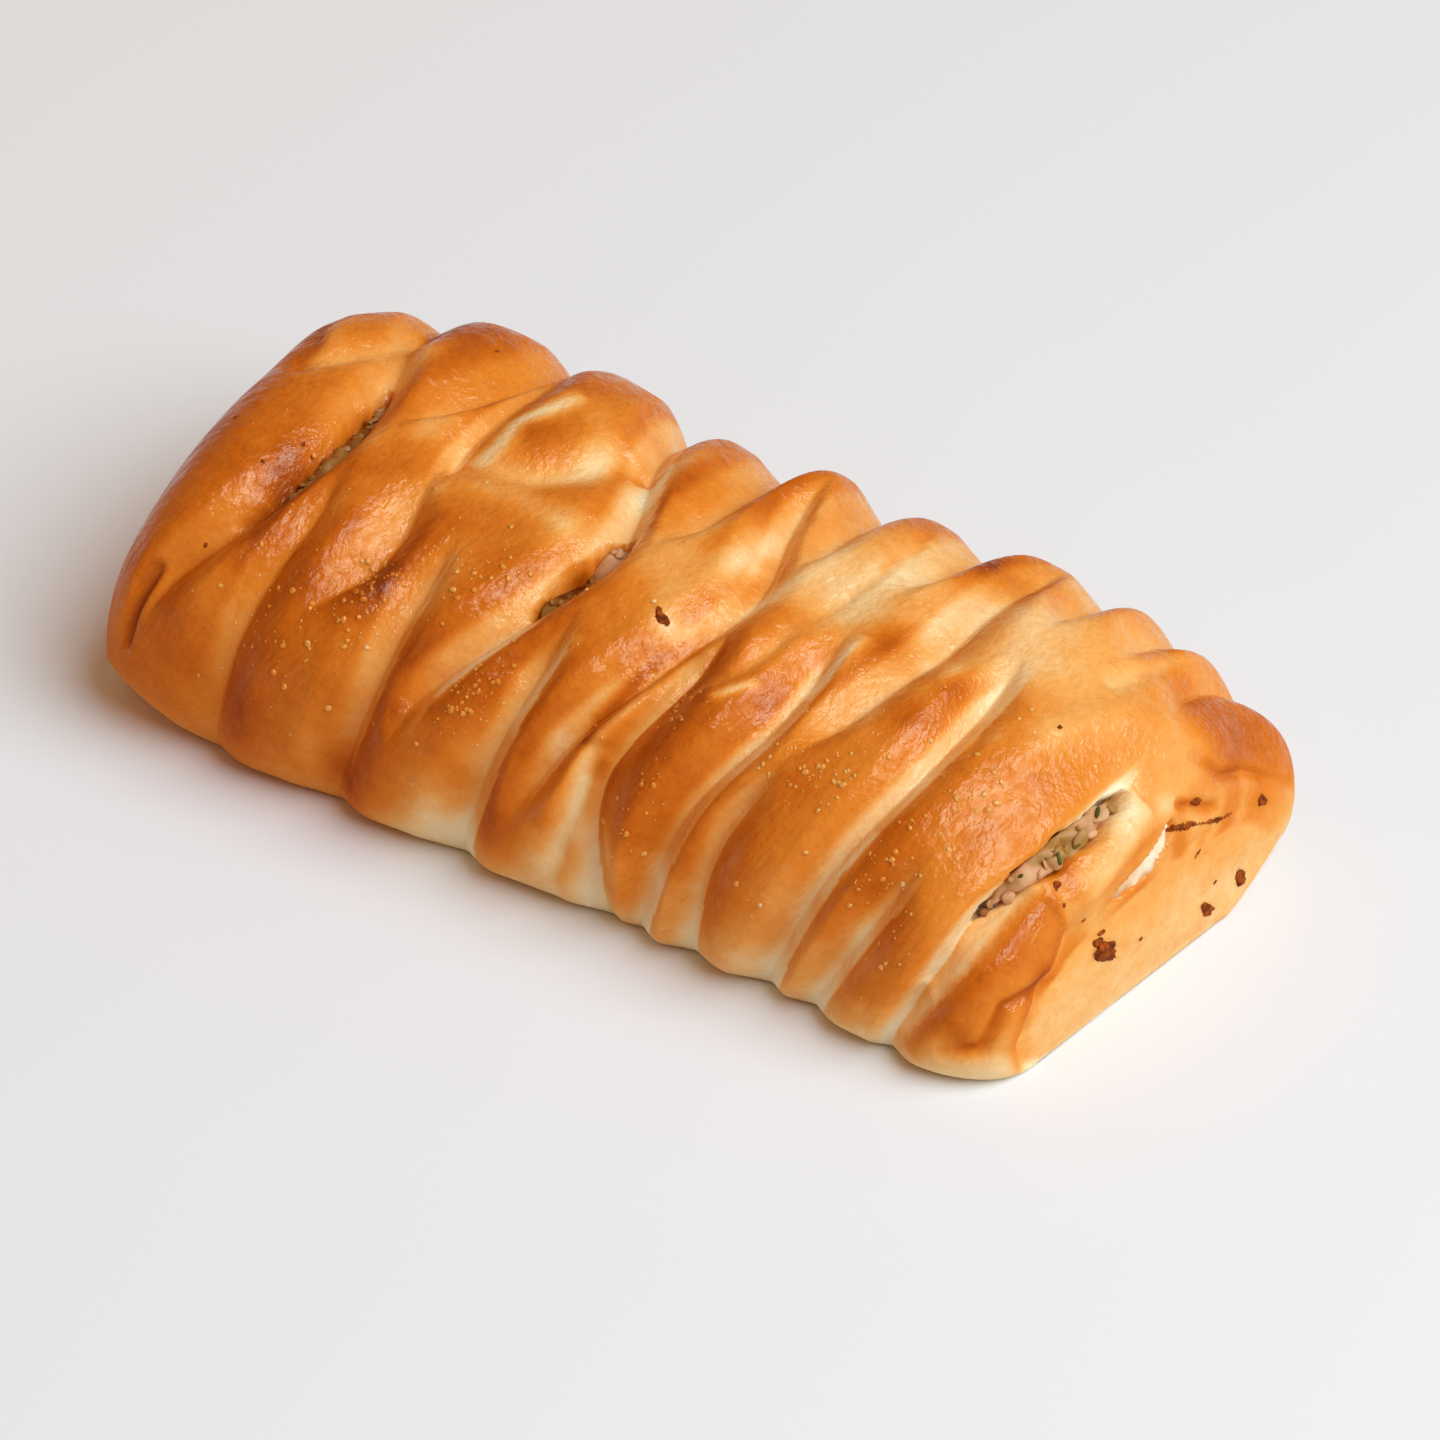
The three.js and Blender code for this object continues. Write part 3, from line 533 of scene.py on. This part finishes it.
def bakeOf(along, across):
    # how brown the crust is: 0 is pale dough, 1 is dark
    _, _, slope, ridge = slitForm(along, across)
    base, normal = loafPoint(crust, along, across), loafNormal(crust, along, across)
    leftward = 1 - smoothStep(*baking["left"], along)
    slope *= 1 - baking["leftSlope"] * leftward * (1 - smoothStep(*baking["leftRise"], across))
    slope *= 1 - baking["farSlope"] * smoothStep(*baking["far"], across)
    bake = baking["plain"] + baking["ridge"] * ridge - baking["slope"] * slope
    bake -= baking["rightward"] * smoothStep(*baking["right"], along)
    for fold in folds + streaks:
        away, t = lineAway(fold["line"], base, normal)
        bake += fold["browner"] * hump(away, 0, fold["halfWidth"]) * tapered(t, lineEnds["fold"])
    bake += spotSum(patches, along, across)
    low = 1 - smoothStep(*baking["footRise"], base[..., 2])
    bake -= baking["foot"] * (1 - baking["leftFoot"] * leftward) * low
    for edge in edges:
        away, t = lineAway(edge["line"], base, normal)
        upper = smoothStep(-2 * edgeSoft, 2 * edgeSoft, away * edge["side"])
        target = edge["low"] + (edge["high"] - edge["low"]) * upper
        bake += (target - bake) * hump(away, 0, edge["reach"]) * tapered(t, lineEnds["edgePaint"])
    lobe = smoothStep(*wall["lobeNear"], across) * (1 - smoothStep(*wall["lobeFar"], across))
    onWall = smoothStep(*wall["start"], along) * smoothStep(*wall["low"], across) * (1 - wall["lobe"] * lobe)
    bake += (wall["bake"] - bake) * onWall + spotSum(wallPatches, along, across)
    inside, _, inner = gapShare(along, across, base, normal)
    return bake + (inner - bake) * inside


def buildDough():
    rows = strandRows()
    overTop = dough["overTop"]
    rings, ends, along, across = loafRings(crust, rows, overTop, dough["around"], crustPoint)
    leftCaps, leftPole = capRings(crust, rings[0], ends[0], -1, dough["leftCap"])
    rightCaps, rightPole = capRings(crust, rings[-1], ends[1], 1, dough["rightCap"])
    bake = np.full(rings.shape[:2], dough["underBake"])
    bake[:, :overTop] = bakeOf(along, across)
    first = np.repeat(bake[:1], len(leftCaps), 0)
    first[:, overTop:] = np.linspace(bake[0, overTop - 1], bake[0, 0], dough["around"] - overTop)
    inward = np.linspace(0, 1, dough["rightCap"] + 1)[1:-1, None]
    onto = np.interp(np.arange(dough["around"]) * across[0, 1], *zip(*wallReach))
    plain = wall["bake"] + wall["topMore"] * smoothStep(*wall["top"], rightCaps[..., 2])
    beyond = smoothStep(onto + wall["soft"][0], onto + wall["soft"][1], inward)
    last = plain + (bake[-1] - plain) * (1 - beyond)
    bake = np.concatenate([first, bake, last])
    rings = np.concatenate([leftCaps[::-1], rings, rightCaps])
    mesh, ring, turn = wrapSphere("crust", rings, (leftPole, rightPole))
    setFloat(mesh, "bake", bake[ring, turn])
    up = np.zeros(len(mesh.vertices) * 3, np.float32)
    mesh.vertex_normals.foreach_get("vector", up)
    setFloat(mesh, "gloss", smoothStep(*dough["glazed"], up[2::3]))  # the glaze is thin on the sides
    return finishMesh("crust", mesh, doughPaint(), "dough")


# Filling
filling = dict(around=90, overTop=72, rows=110, capRows=8)


def buildFilling():
    half = core["halfLength"]
    ends = half * np.sin(np.linspace(-1, 1, filling["rows"]) * math.pi / 2)
    rows = [lambda s, x=x: np.full_like(s, x) for x in ends]

    def plainCore(along, across):
        return loafPoint(core, along, across)

    rings, ends, _, _ = loafRings(core, rows, filling["overTop"], filling["around"], plainCore)
    leftCaps, leftPole = capRings(core, rings[0], ends[0], -1, filling["capRows"])
    rightCaps, rightPole = capRings(core, rings[-1], ends[1], 1, filling["capRows"])
    rings = np.concatenate([leftCaps[::-1], rings, rightCaps])
    mesh, _, _ = wrapSphere("stuffing", rings, (leftPole, rightPole))
    return finishMesh("stuffing", mesh, fillingPaint(), "filling")


# Small things lie on the dough or the filling: one ball is shaped, turned and copied for each of them
anyTurn = 6.3  # random angles go up to this many radians
sideways = (0.31, 0.95, 0.1)  # no normal of the loaf points this way
lumps = dict(count=4, reaches=(3, 9), shares=(0.25, 0.1), seed=7)  # broad and fine waves that roughen a ball


def ballShape(detail):
    bm = bmesh.new()
    bmesh.ops.create_icosphere(bm, subdivisions=detail, radius=1.0)
    bm.verts.index_update()
    verts = np.array([v.co for v in bm.verts])
    faces = np.array([[v.index for v in f.verts] for f in bm.faces])
    bm.free()
    return verts, faces


def turnTo(normal, angle):
    up = np.asarray(normal) / np.linalg.norm(normal)
    side = np.cross(up, sideways)
    side /= np.linalg.norm(side)
    fore = np.cross(up, side)
    across = math.cos(angle) * side + math.sin(angle) * fore
    return np.stack([across, np.cross(up, across), up], 1)


def scatterMesh(name, balls, paint, detail, shade=None):
    # balls: place and half sizes in metres, normal, turn, roughness
    verts, faces = ballShape(detail)
    shares = np.repeat(lumps["shares"], lumps["count"])
    chance = np.random.default_rng(lumps["seed"])
    points, polygons = [], []
    for i, (place, half, normal, angle, rough) in enumerate(balls):
        waves = np.concatenate([chance.uniform(-far, far, (lumps["count"], 3)) for far in lumps["reaches"]])
        bumps = 1 + rough * (np.sin(verts @ waves.T + chance.uniform(0, anyTurn, len(waves))) @ shares)
        points.append((verts * bumps[:, None] * half) @ turnTo(normal, angle).T + place)
        polygons.append(faces + i * len(verts))
    mesh = bpy.data.meshes.new(name)
    mesh.from_pydata(np.concatenate(points).tolist(), [], np.concatenate(polygons).tolist())
    if shade is not None:
        setFloat(mesh, "bake", np.repeat(shade, len(verts)))
        setFloat(mesh, "gloss", np.ones(len(mesh.vertices)))
    mesh.update()
    return finishMesh(name, mesh, paint)


# Blisters on the browned lips: half sizes, how flat and how much paler than the crust they are, and where
# they crowd: (along, across), reach each way, share. Their paleness is partly a painted highlight for their
# glints
blisters = dict(count=700, small=0.2, large=0.65, narrow=0.8, flat=0.5, rough=0.35, brown=0.5, paler=0.2,
                along=(-72, 72), across=(12, 70), tries=12000, few=0.008, many=0.7, detail=2, seed=11)
crowds = [
    ((-37, 44), (4, 5), 1.0), ((-15, 36), (5, 5), 1.0), ((17, 46), (3, 4), 0.7), ((18, 30), (3, 6), 0.5),
    ((42, 44), (6, 4), 0.8), ((60, 34), (4, 8), 0.5), ((-46, 34), (7, 9), 0.25), ((66, 52), (4, 8), 0.3),
    ((-22, 54), (6, 5), 0.3), ((48, 58), (5, 6), 0.2),
]


def buildBlisters():
    chance = np.random.default_rng(blisters["seed"])
    along = chance.uniform(*blisters["along"], blisters["tries"])
    across = chance.uniform(*blisters["across"], blisters["tries"])
    wanted = blisters["few"] + blisters["many"] * spotSum(crowds, along, across)
    keep = chance.uniform(0, 1, blisters["tries"]) < wanted
    along, across = along[keep], across[keep]
    shade = bakeOf(along, across)
    brown = np.flatnonzero(shade > blisters["brown"])[: blisters["count"]]
    along, across, shade = along[brown], across[brown], shade[brown]
    step = 0.3
    middle = crustPoint(along, across)
    normal = np.cross(crustPoint(along + step, across) - crustPoint(along - step, across),
                      crustPoint(along, across + step) - crustPoint(along, across - step))
    size = blisters["small"] + (blisters["large"] - blisters["small"]) * chance.uniform(0, 1, len(along)) ** 3
    form = np.array([1, blisters["narrow"], blisters["flat"]]) * mm
    turns = chance.uniform(0, anyTurn, len(size))
    balls = [(toFrame(p), r * form, n, a, blisters["rough"])
             for p, r, n, a in zip(middle, size, normal, turns)]
    paint = doughPaint("blister", sheen=0.12, specular=0.9)
    # the blisters are painted paler than the crust under them, partly as a painted highlight for their glints
    scatterMesh("blisters", balls, paint, blisters["detail"], shade - blisters["paler"])


# Char specks and herb flakes, where the photo shows them: pixel, width and length in pixels, turn in degrees
charLook = dict(slot="dough", thick=0.2, sink=0.5, rough=0.9, detail=3,
                dark=(92, 34, 5), light=(172, 80, 16), roughness=0.8, mottle=900.0)
charSpecks = [
    ((1107, 951), 31, 21, 45), ((1098, 943), 12, 10, 45), ((1101, 933), 4, 10, 0),
    ((1056, 886), 8, 11, 0), ((1064, 905), 4, 6, 0), ((1084, 920), 4, 5, 0), ((1240, 877), 20, 15, 45),
    ((1206, 910), 20, 10, 45), ((1196, 802), 12, 10, 45), ((1262, 801), 11, 11, 45),
    ((1215, 882), 4, 5, 0), ((1140, 940), 4, 5, 0), ((1198, 853), 3, 8, 20), ((1060, 727), 4, 5, 0),
    ((497, 351), 5, 6, 0), ((222, 411), 5, 5, 0), ((235, 417), 4, 5, 0), ((263, 461), 4, 4, 0),
    ((303, 444), 4, 4, 0), ((206, 545), 4, 4, 0), ((663, 618), 8, 18, 70),
]
crack = dict(line=[(1166, 830), (1172, 828), (1181, 827), (1190, 825), (1197, 824), (1205, 823), (1213, 821),
                   (1222, 818), (1234, 812)],
             wide=[2, 4, 6, 5, 2, 2, 5, 4, 2], steps=4)


def crackSpecks():
    # the thin crack of the end wall is a close row of specks
    specks = []
    line, wide = np.array(crack["line"], float), crack["wide"]
    for k in range(len(line) - 1):
        for t in np.arange(crack["steps"]) / crack["steps"]:
            size = wide[k] + t * (wide[k + 1] - wide[k])
            specks.append((line[k] + t * (line[k + 1] - line[k]), size, size + 1, 90 * t))
    return specks


herbLook = dict(slot="filling", thick=0.5, sink=0.0, rough=0.4, detail=2,
                dark=(42, 46, 8), light=(104, 100, 30), roughness=0.5, mottle=600.0)
herbFlakes = [
    ((1052, 853), 5, 18, 20), ((1059, 859), 4, 14, 70), ((1046, 857), 4, 9, 110),
    ((1019, 876), 6, 8, 30), ((1098, 812), 5, 16, 40), ((357, 434), 5, 9, 30), ((1077, 846), 3, 8, 0),
]


# Filling pressed up into the parted slits: how far it stays below the rims, how thick it is, how many
# loose bits of what half size lie on it, and what it is from the near end of the slit to the far one:
# 0 dark crumb, 0.25 brown meat, 0.38 greens, 0.52 pale meat, 0.75 cheese, 1 white cheese.
# In the second heap, the dark kinds in its middle are painted shade for the hole where it lies deepest
heaps = [
    dict(top=[3.0, 3.0, 2.0, 1.6, 2.0], thick=2.5, lump=0.5, bits=40, small=0.35, large=0.9,
         kinds=[0.0, 0.1, 0.36, 0.3, 0.2, 0.38, 0.34], spread=0.08),
    # painted shade: the dark kinds 0.1 and 0.0 in the middle stand for the dark hole over the deepest part
    dict(top=[0.4, 0.6, 3.4, 4.2, 1.0, 0.6], thick=2.5, lump=0.5, bits=16, small=0.4, large=0.9,
         kinds=[0.38, 0.36, 0.1, 0.0, 0.5, 0.54, 0.4], spread=0.05),
    dict(top=[1.0, 0.7, 0.5, 0.5, 1.0], thick=2.5, lump=0.6, bits=14, small=0.5, large=1.3,
         kinds=[0.14, 0.25, 0.45, 0.55, 0.62, 0.44, 0.38, 0.44, 0.56, 0.52, 0.38, 0.3], spread=0.05),
    dict(top=[0.4, 0.4], thick=1.5, lump=0.3, bits=8, small=0.3, large=0.6,
         kinds=[1.0, 0.95, 0.85, 0.6], spread=0.04),
]

# The filling mass in each slit, and the loose bits on it
mass = dict(around=20, along=48, wide=1.2, halfRun=0.46, rimBeside=1.0,
            lumps=6, lumpsAround=3.5, lumpsAlong=1.6, lumpKind=0.25, seed=29)
bit = dict(run=(0.1, 0.9), wide=0.8, longer=(0.7, 1.6), flat=(0.3, 0.5), smaller=1.5, waves=5, waveReach=3,
           lumpy=0.6, tilt=0.4, sink=0.2, detail=2)


def alongHeap(values, t):
    return np.interp(t, np.linspace(0, 1, len(values)), values)


def gapMiddle(index, t):
    # the middle of a parted slit at a share of its run, and its half width there
    if index < len(gaps):
        gap = gaps[index]
        across = gap["start"] + t * (gap["end"] - gap["start"])
        along = slitAlong(slits[gap["slit"]][0], across) + gap["offset"]
    else:
        gap = endGap
        at = np.linspace(0, 1, len(gap["line"]))
        along, across = (np.interp(t, at, [p[i] for p in gap["line"]]) for i in (0, 1))
    return along, across, gap["halfWidth"] * tapered(t, rim["ends"])


def rimDepth(along, across, width):
    # how far the lower rim of the slit lies below the plain loaf
    rims = []
    for side in (-1, 1):
        beside = np.minimum(along + side * (width + mass["rimBeside"]), crust["halfLength"])
        base, normal = loafPoint(crust, beside, across), loafNormal(crust, beside, across)
        rims.append(relief(beside, across, base, normal))
    return -np.minimum(*rims)


def buildMass(index, heap, chance):
    # a long lumpy body that fills the slit from wall to wall
    bm = bmesh.new()
    bmesh.ops.create_uvsphere(bm, u_segments=mass["around"], v_segments=mass["along"], radius=1.0)
    bm.verts.index_update()
    unit = np.array([v.co for v in bm.verts])
    faces = [[v.index for v in f.verts] for f in bm.faces]
    bm.free()
    t = 0.5 + mass["halfRun"] * unit[:, 2]
    along, across, width = gapMiddle(index, t)
    waves = chance.uniform(-1, 1, (mass["lumps"], 2)) * [mass["lumpsAround"], mass["lumpsAlong"]]
    phase = unit[:, :1] * waves[:, 0] + across[:, None] * waves[:, 1]
    swell = np.sin(phase + chance.uniform(0, anyTurn, mass["lumps"])).mean(1)
    deep = rimDepth(along, across, width) + alongHeap(heap["top"], t)
    deep += heap["thick"] / 2 * (1 - unit[:, 1]) - heap["lump"] * 2 * swell
    along = np.minimum(along + unit[:, 0] * width * mass["wide"], crust["halfLength"])
    point = loafPoint(crust, along, across) - loafNormal(crust, along, across) * deep[:, None]
    kind = alongHeap(heap["kinds"], t) + mass["lumpKind"] * heap["lump"] * swell
    return toFrame(point), faces, kind


def buildHeaps():
    chance = np.random.default_rng(mass["seed"])
    points, faces, kinds, count = [], [], [], 0
    ball, ballFaces = ballShape(bit["detail"])
    for index, heap in enumerate(heaps):
        body = [buildMass(index, heap, chance)]
        t = chance.uniform(*bit["run"], heap["bits"])
        along, across, width = gapMiddle(index, t)
        deep = rimDepth(along, across, width) + alongHeap(heap["top"], t)
        along = along + bit["wide"] * width * chance.uniform(-1, 1, heap["bits"])
        along = np.minimum(along, crust["halfLength"])
        normal = loafNormal(crust, along, across)
        middle = loafPoint(crust, along, across) - normal * deep[:, None]
        kind = alongHeap(heap["kinds"], t) + chance.normal(0, heap["spread"], heap["bits"])
        for point, n, k in zip(middle, normal, kind):
            r = heap["small"] + (heap["large"] - heap["small"]) * chance.uniform(0, 1) ** bit["smaller"]
            shape = r * np.array([1, chance.uniform(*bit["longer"]), chance.uniform(*bit["flat"])])
            waves = ball @ chance.uniform(-bit["waveReach"], bit["waveReach"], (3, bit["waves"]))
            bumps = 1 + bit["lumpy"] * np.sin(waves + chance.uniform(0, anyTurn, bit["waves"])).mean(1)
            turn = turnTo(n + chance.normal(0, bit["tilt"], 3), chance.uniform(0, anyTurn))
            turned = (ball * bumps[:, None] * shape) @ turn.T
            place = toFrame(point - bit["sink"] * r * n + turned)
            body.append((place, ballFaces.tolist(), np.full(len(ball), k)))
        for verts, polygons, kind in body:
            points.append(verts)
            faces += [[i + count for i in polygon] for polygon in polygons]
            kinds.append(kind)
            count += len(verts)
    mesh = bpy.data.meshes.new("heaps")
    mesh.from_pydata(np.concatenate(points).tolist(), [], faces)
    setFloat(mesh, "bake", np.concatenate(kinds))
    mesh.update()
    return finishMesh("heaps", mesh, heapPaint())


def photoRay(pixel):
    camera = bpy.context.scene.camera
    reach = photo["sensor"] / photo["lens"] / photo["side"]
    half = photo["side"] / 2
    way = Vector(((pixel[0] - half) * reach, (half - pixel[1]) * reach, -1.0))
    return camera.matrix_world.translation, (camera.matrix_world.to_3x3() @ way).normalized()


def buildBits(name, places, look, carriers):
    balls = []
    pixel = photo["pixel"] * mm
    for at, wide, long, angle in places:
        eye, way = photoRay(at)
        hits = [hit for hit in (tree.ray_cast(eye, way) for tree in carriers) if hit[0] is not None]
        if not hits:
            print(name, "misses at", at)
            continue
        spot, normal = min(hits, key=lambda hit: hit[3])[:2]
        half = np.array([wide, long, look["thick"] * wide]) / 2 * pixel
        place = np.array(spot) + np.array(normal) * half[2] * (1 - look["sink"])
        balls.append((place, half, np.array(normal), math.radians(angle), look["rough"]))
    scatterMesh(name, balls, bitPaint(name, look), look["detail"])


# Shader maths: an expression on wires adds the nodes it needs
class Wire:
    def __init__(self, paint, socket):
        self.paint, self.socket = paint, socket

    def math(self, operation, a, b):
        return self.paint.add("ShaderNodeMath", dict(operation=operation), {0: a, 1: b})

    def __add__(self, other):
        return self.math("ADD", self, other)

    def __radd__(self, other):
        return self.math("ADD", other, self)

    def __sub__(self, other):
        return self.math("SUBTRACT", self, other)

    def __rsub__(self, other):
        return self.math("SUBTRACT", other, self)

    def __mul__(self, other):
        return self.math("MULTIPLY", self, other)

    def __rmul__(self, other):
        return self.math("MULTIPLY", other, self)


class Paint:
    def __init__(self, name):
        self.material = bpy.data.materials.new(name)
        self.material.use_nodes = True
        self.tree = self.material.node_tree
        self.tree.nodes.clear()

    def add(self, kind, settings=None, sockets=None, output=0):
        node = self.tree.nodes.new(kind)
        for key, value in (settings or {}).items():
            if key == "stops":
                setStops(node.color_ramp, value)
            else:
                setattr(node, key, value)
        for key, value in (sockets or {}).items():
            if isinstance(value, Wire):
                self.tree.links.new(value.socket, node.inputs[key])
            else:
                node.inputs[key].default_value = value
        return Wire(self, node.outputs[output])

    def noise(self, place, scale, detail, roughness):
        sockets = {"Vector": place, "Scale": scale, "Detail": detail, "Roughness": roughness}
        return self.add("ShaderNodeTexNoise", {}, sockets)

    def finish(self, sockets):
        return self.show(self.add("ShaderNodeBsdfPrincipled", {}, sockets))

    def show(self, shader):
        output = self.tree.nodes.new("ShaderNodeOutputMaterial")
        self.tree.links.new(shader.socket, output.inputs["Surface"])
        return self.material


def setStops(ramp, stops):
    while len(ramp.elements) < len(stops):
        ramp.elements.new(1.0)
    for element, (place, colour) in zip(ramp.elements, stops):
        element.position = place
        element.color = colour


def tint(red, green, blue):
    def linear(value):
        value /= 255
        return value / 12.92 if value <= 0.04045 else ((value + 0.055) / 1.055) ** 2.4

    return (linear(red), linear(green), linear(blue), 1.0)


def doughPaint(name="glazedDough", sheen=0.18, specular=0.62):
    p = Paint(name)
    place = p.add("ShaderNodeTexCoord", output="Object")
    bake = p.add("ShaderNodeAttribute", dict(attribute_name="bake"), output="Fac")
    gloss = p.add("ShaderNodeAttribute", dict(attribute_name="gloss"), output="Fac")
    broad = p.noise(place, 90.0, 3.0, 0.5)
    middle = p.noise(place, 350.0, 3.0, 0.6)
    fine = p.noise(place, 1100.0, 3.0, 0.6)
    brown = bake + (broad - 0.5) * 0.22 + (middle - 0.5) * 0.16 + (fine - 0.5) * 0.10
    colour = p.add("ShaderNodeValToRGB", dict(stops=[
        (0.00, tint(248, 230, 190)),
        (0.20, tint(246, 206, 146)),
        (0.40, tint(240, 166, 84)),
        (0.60, tint(226, 130, 38)),
        (0.78, tint(202, 100, 14)),
        (0.92, tint(170, 73, 5)),
        (1.00, tint(130, 48, 4)),
    ]), {"Fac": brown})
    # fine lines follow the stretched dough of the strands
    way = Vector((0.45, 0.50, 0.74)).normalized()
    side = way.cross(Vector((0.0, 0.0, 1.0))).normalized()
    dot = dict(operation="DOT_PRODUCT")
    turned = [p.add("ShaderNodeVectorMath", dot, {0: place, 1: tuple(axis)}, output="Value") * stretch
              for axis, stretch in ((side, 900.0), (way.cross(side), 900.0), (way, 200.0))]
    stretched = p.add("ShaderNodeCombineXYZ", {}, dict(zip("XYZ", turned)))
    height = fine * 0.22 + p.noise(stretched, 1.0, 2.0, 0.5) * 0.8 + middle * 0.6
    crumb = {
        "Base Color": colour,
        "Normal": p.add("ShaderNodeBump", {}, {"Strength": 0.6, "Distance": 0.0007, "Height": height}),
        "Subsurface Weight": 0.2, "Subsurface Radius": (1.0, 0.45, 0.2), "Subsurface Scale": 0.003,
    }
    dryFinish = {"Roughness": 0.6, "Specular IOR Level": 0.08}
    wetFinish = {"Roughness": sheen + (middle - 0.5) * 0.25, "Specular IOR Level": specular,
                 "Specular Tint": (1.0, 0.86, 0.62, 1.0)}
    dry = p.add("ShaderNodeBsdfPrincipled", {}, crumb | dryFinish)
    wet = p.add("ShaderNodeBsdfPrincipled", {}, crumb | wetFinish)
    glaze = p.add("ShaderNodeMapRange", {}, {
        "Value": p.noise(stretched, 0.6, 4.0, 0.65), "From Min": 0.38, "From Max": 0.62, "To Min": 0.15})
    return p.show(p.add("ShaderNodeMixShader", {}, {0: gloss * glaze, 1: dry, 2: wet}))


def fillingPaint():
    p = Paint("moistFilling")
    place = p.add("ShaderNodeTexCoord", output="Object")
    mince = p.noise(place, 350.0, 4.0, 0.6)
    colour = p.add("ShaderNodeValToRGB", dict(stops=[
        (0.30, tint(84, 52, 24)),
        (0.45, tint(150, 112, 66)),
        (0.60, tint(196, 166, 120)),
        (0.75, tint(186, 140, 104)),
    ]), {"Fac": mince})
    bump = p.add("ShaderNodeBump", {}, {"Strength": 0.6, "Distance": 0.0008, "Height": mince})
    return p.finish({"Base Color": colour, "Normal": bump, "Roughness": 0.35})


def heapPaint():
    p = Paint("heapedFilling")
    place = p.add("ShaderNodeTexCoord", output="Object")
    kind = p.add("ShaderNodeAttribute", dict(attribute_name="bake"), output="Fac")
    broad = p.noise(place, 420.0, 2.0, 0.5)
    mottle = p.noise(place, 900.0, 3.0, 0.6)
    colour = p.add("ShaderNodeValToRGB", dict(stops=[
        (0.00, tint(96, 38, 5)),
        (0.25, tint(156, 94, 34)),
        (0.38, tint(166, 122, 58)),
        (0.52, tint(206, 150, 104)),
        (0.75, tint(228, 186, 138)),
        (1.00, tint(252, 228, 194)),
    ]), {"Fac": kind + (mottle - 0.5) * 0.14 + (broad - 0.5) * 0.3})
    bump = p.add("ShaderNodeBump", {}, {"Strength": 0.4, "Distance": 0.0004, "Height": mottle})
    return p.finish({"Base Color": colour, "Normal": bump, "Roughness": 0.5, "Specular IOR Level": 0.2})


def bitPaint(name, look):
    p = Paint(name)
    place = p.add("ShaderNodeTexCoord", output="Object")
    mottle = p.noise(place, look["mottle"], 3.0, 0.6)
    stops = [(0.35, tint(*look["dark"])), (0.65, tint(*look["light"]))]
    colour = p.add("ShaderNodeValToRGB", dict(stops=stops), {"Fac": mottle})
    return p.finish({"Base Color": colour, "Roughness": look["roughness"], "Specular IOR Level": 0.12})


# Floor, light and camera
studio = dict(
    floorSize=6.0, floorDrop=0.0003, floorColour=tint(238, 238, 238),
    keyFrom=(0.62, 0.02, 0.78), keyFar=2.0, keySize=1.92, keyPower=53.5,
    sky=(1.0, 0.61, 0.34, 1.0), skyStrength=0.36, keyColour=(0.715, 0.88, 1.0),
)
photo = dict(eye=(458.94, -706.70, 722.07), aim=(9.74, -3.98, 15.0), lens=182.05, sensor=36.0, side=1440,
             pixel=0.151)  # one pixel of the photo covers this many millimetres of the loaf


def areaLight(name, direction, far, size, power):
    lamp = bpy.data.lights.new(name, "AREA")
    lamp.shape = "DISK"
    lamp.size = size
    lamp.energy = power
    lamp.color = studio["keyColour"]
    light = bpy.data.objects.new(name, lamp)
    light.location = Vector(direction).normalized() * far
    light.rotation_euler = Vector(direction).to_track_quat("Z", "Y").to_euler()
    bpy.context.scene.collection.objects.link(light)


def buildStage():
    bm = bmesh.new()
    bmesh.ops.create_grid(bm, x_segments=4, y_segments=4, size=studio["floorSize"] / 2)
    bmesh.ops.translate(bm, vec=(0, 0, -studio["floorDrop"]), verts=bm.verts)
    mesh = bpy.data.meshes.new("floor")
    bm.to_mesh(mesh)
    bm.free()
    floor = bpy.data.objects.new("floor", mesh)
    bpy.context.scene.collection.objects.link(floor)
    mesh.materials.append(Paint("paleFloor").finish({"Base Color": studio["floorColour"], "Roughness": 0.4}))
    world = bpy.data.worlds.new("softRoom")
    world.use_nodes = True
    sky = world.node_tree.nodes["Background"]
    sky.inputs["Color"].default_value = studio["sky"]
    sky.inputs["Strength"].default_value = studio["skyStrength"]
    bpy.context.scene.world = world
    areaLight("key", studio["keyFrom"], studio["keyFar"], studio["keySize"], studio["keyPower"])


def buildCamera():
    lens = bpy.data.cameras.new("photoCamera")
    lens.lens = photo["lens"]
    lens.sensor_width = photo["sensor"]
    lens.clip_start, lens.clip_end = 0.01, 20
    camera = bpy.data.objects.new("photoCamera", lens)
    eye, aim = Vector(toFrame(photo["eye"])), Vector(toFrame(photo["aim"]))
    camera.location = eye
    camera.rotation_euler = (aim - eye).to_track_quat("-Z", "Y").to_euler()
    bpy.context.scene.collection.objects.link(camera)
    bpy.context.scene.camera = camera
    bpy.context.view_layer.update()


def treeOf(piece):
    mesh = piece.data
    return BVHTree.FromPolygons([v.co for v in mesh.vertices], [p.vertices for p in mesh.polygons])


bpy.context.scene.view_settings.view_transform = "Standard"
buildCamera()
buildStage()
print("stage ready")
crustPiece = buildDough()
stuffing = buildFilling()
carriers = [treeOf(crustPiece), treeOf(stuffing)]
buildBlisters()
buildBits("char", charSpecks + crackSpecks(), charLook, carriers)
heaped = buildHeaps()
carriers.append(treeOf(heaped))
buildBits("herbs", herbFlakes, herbLook, carriers)
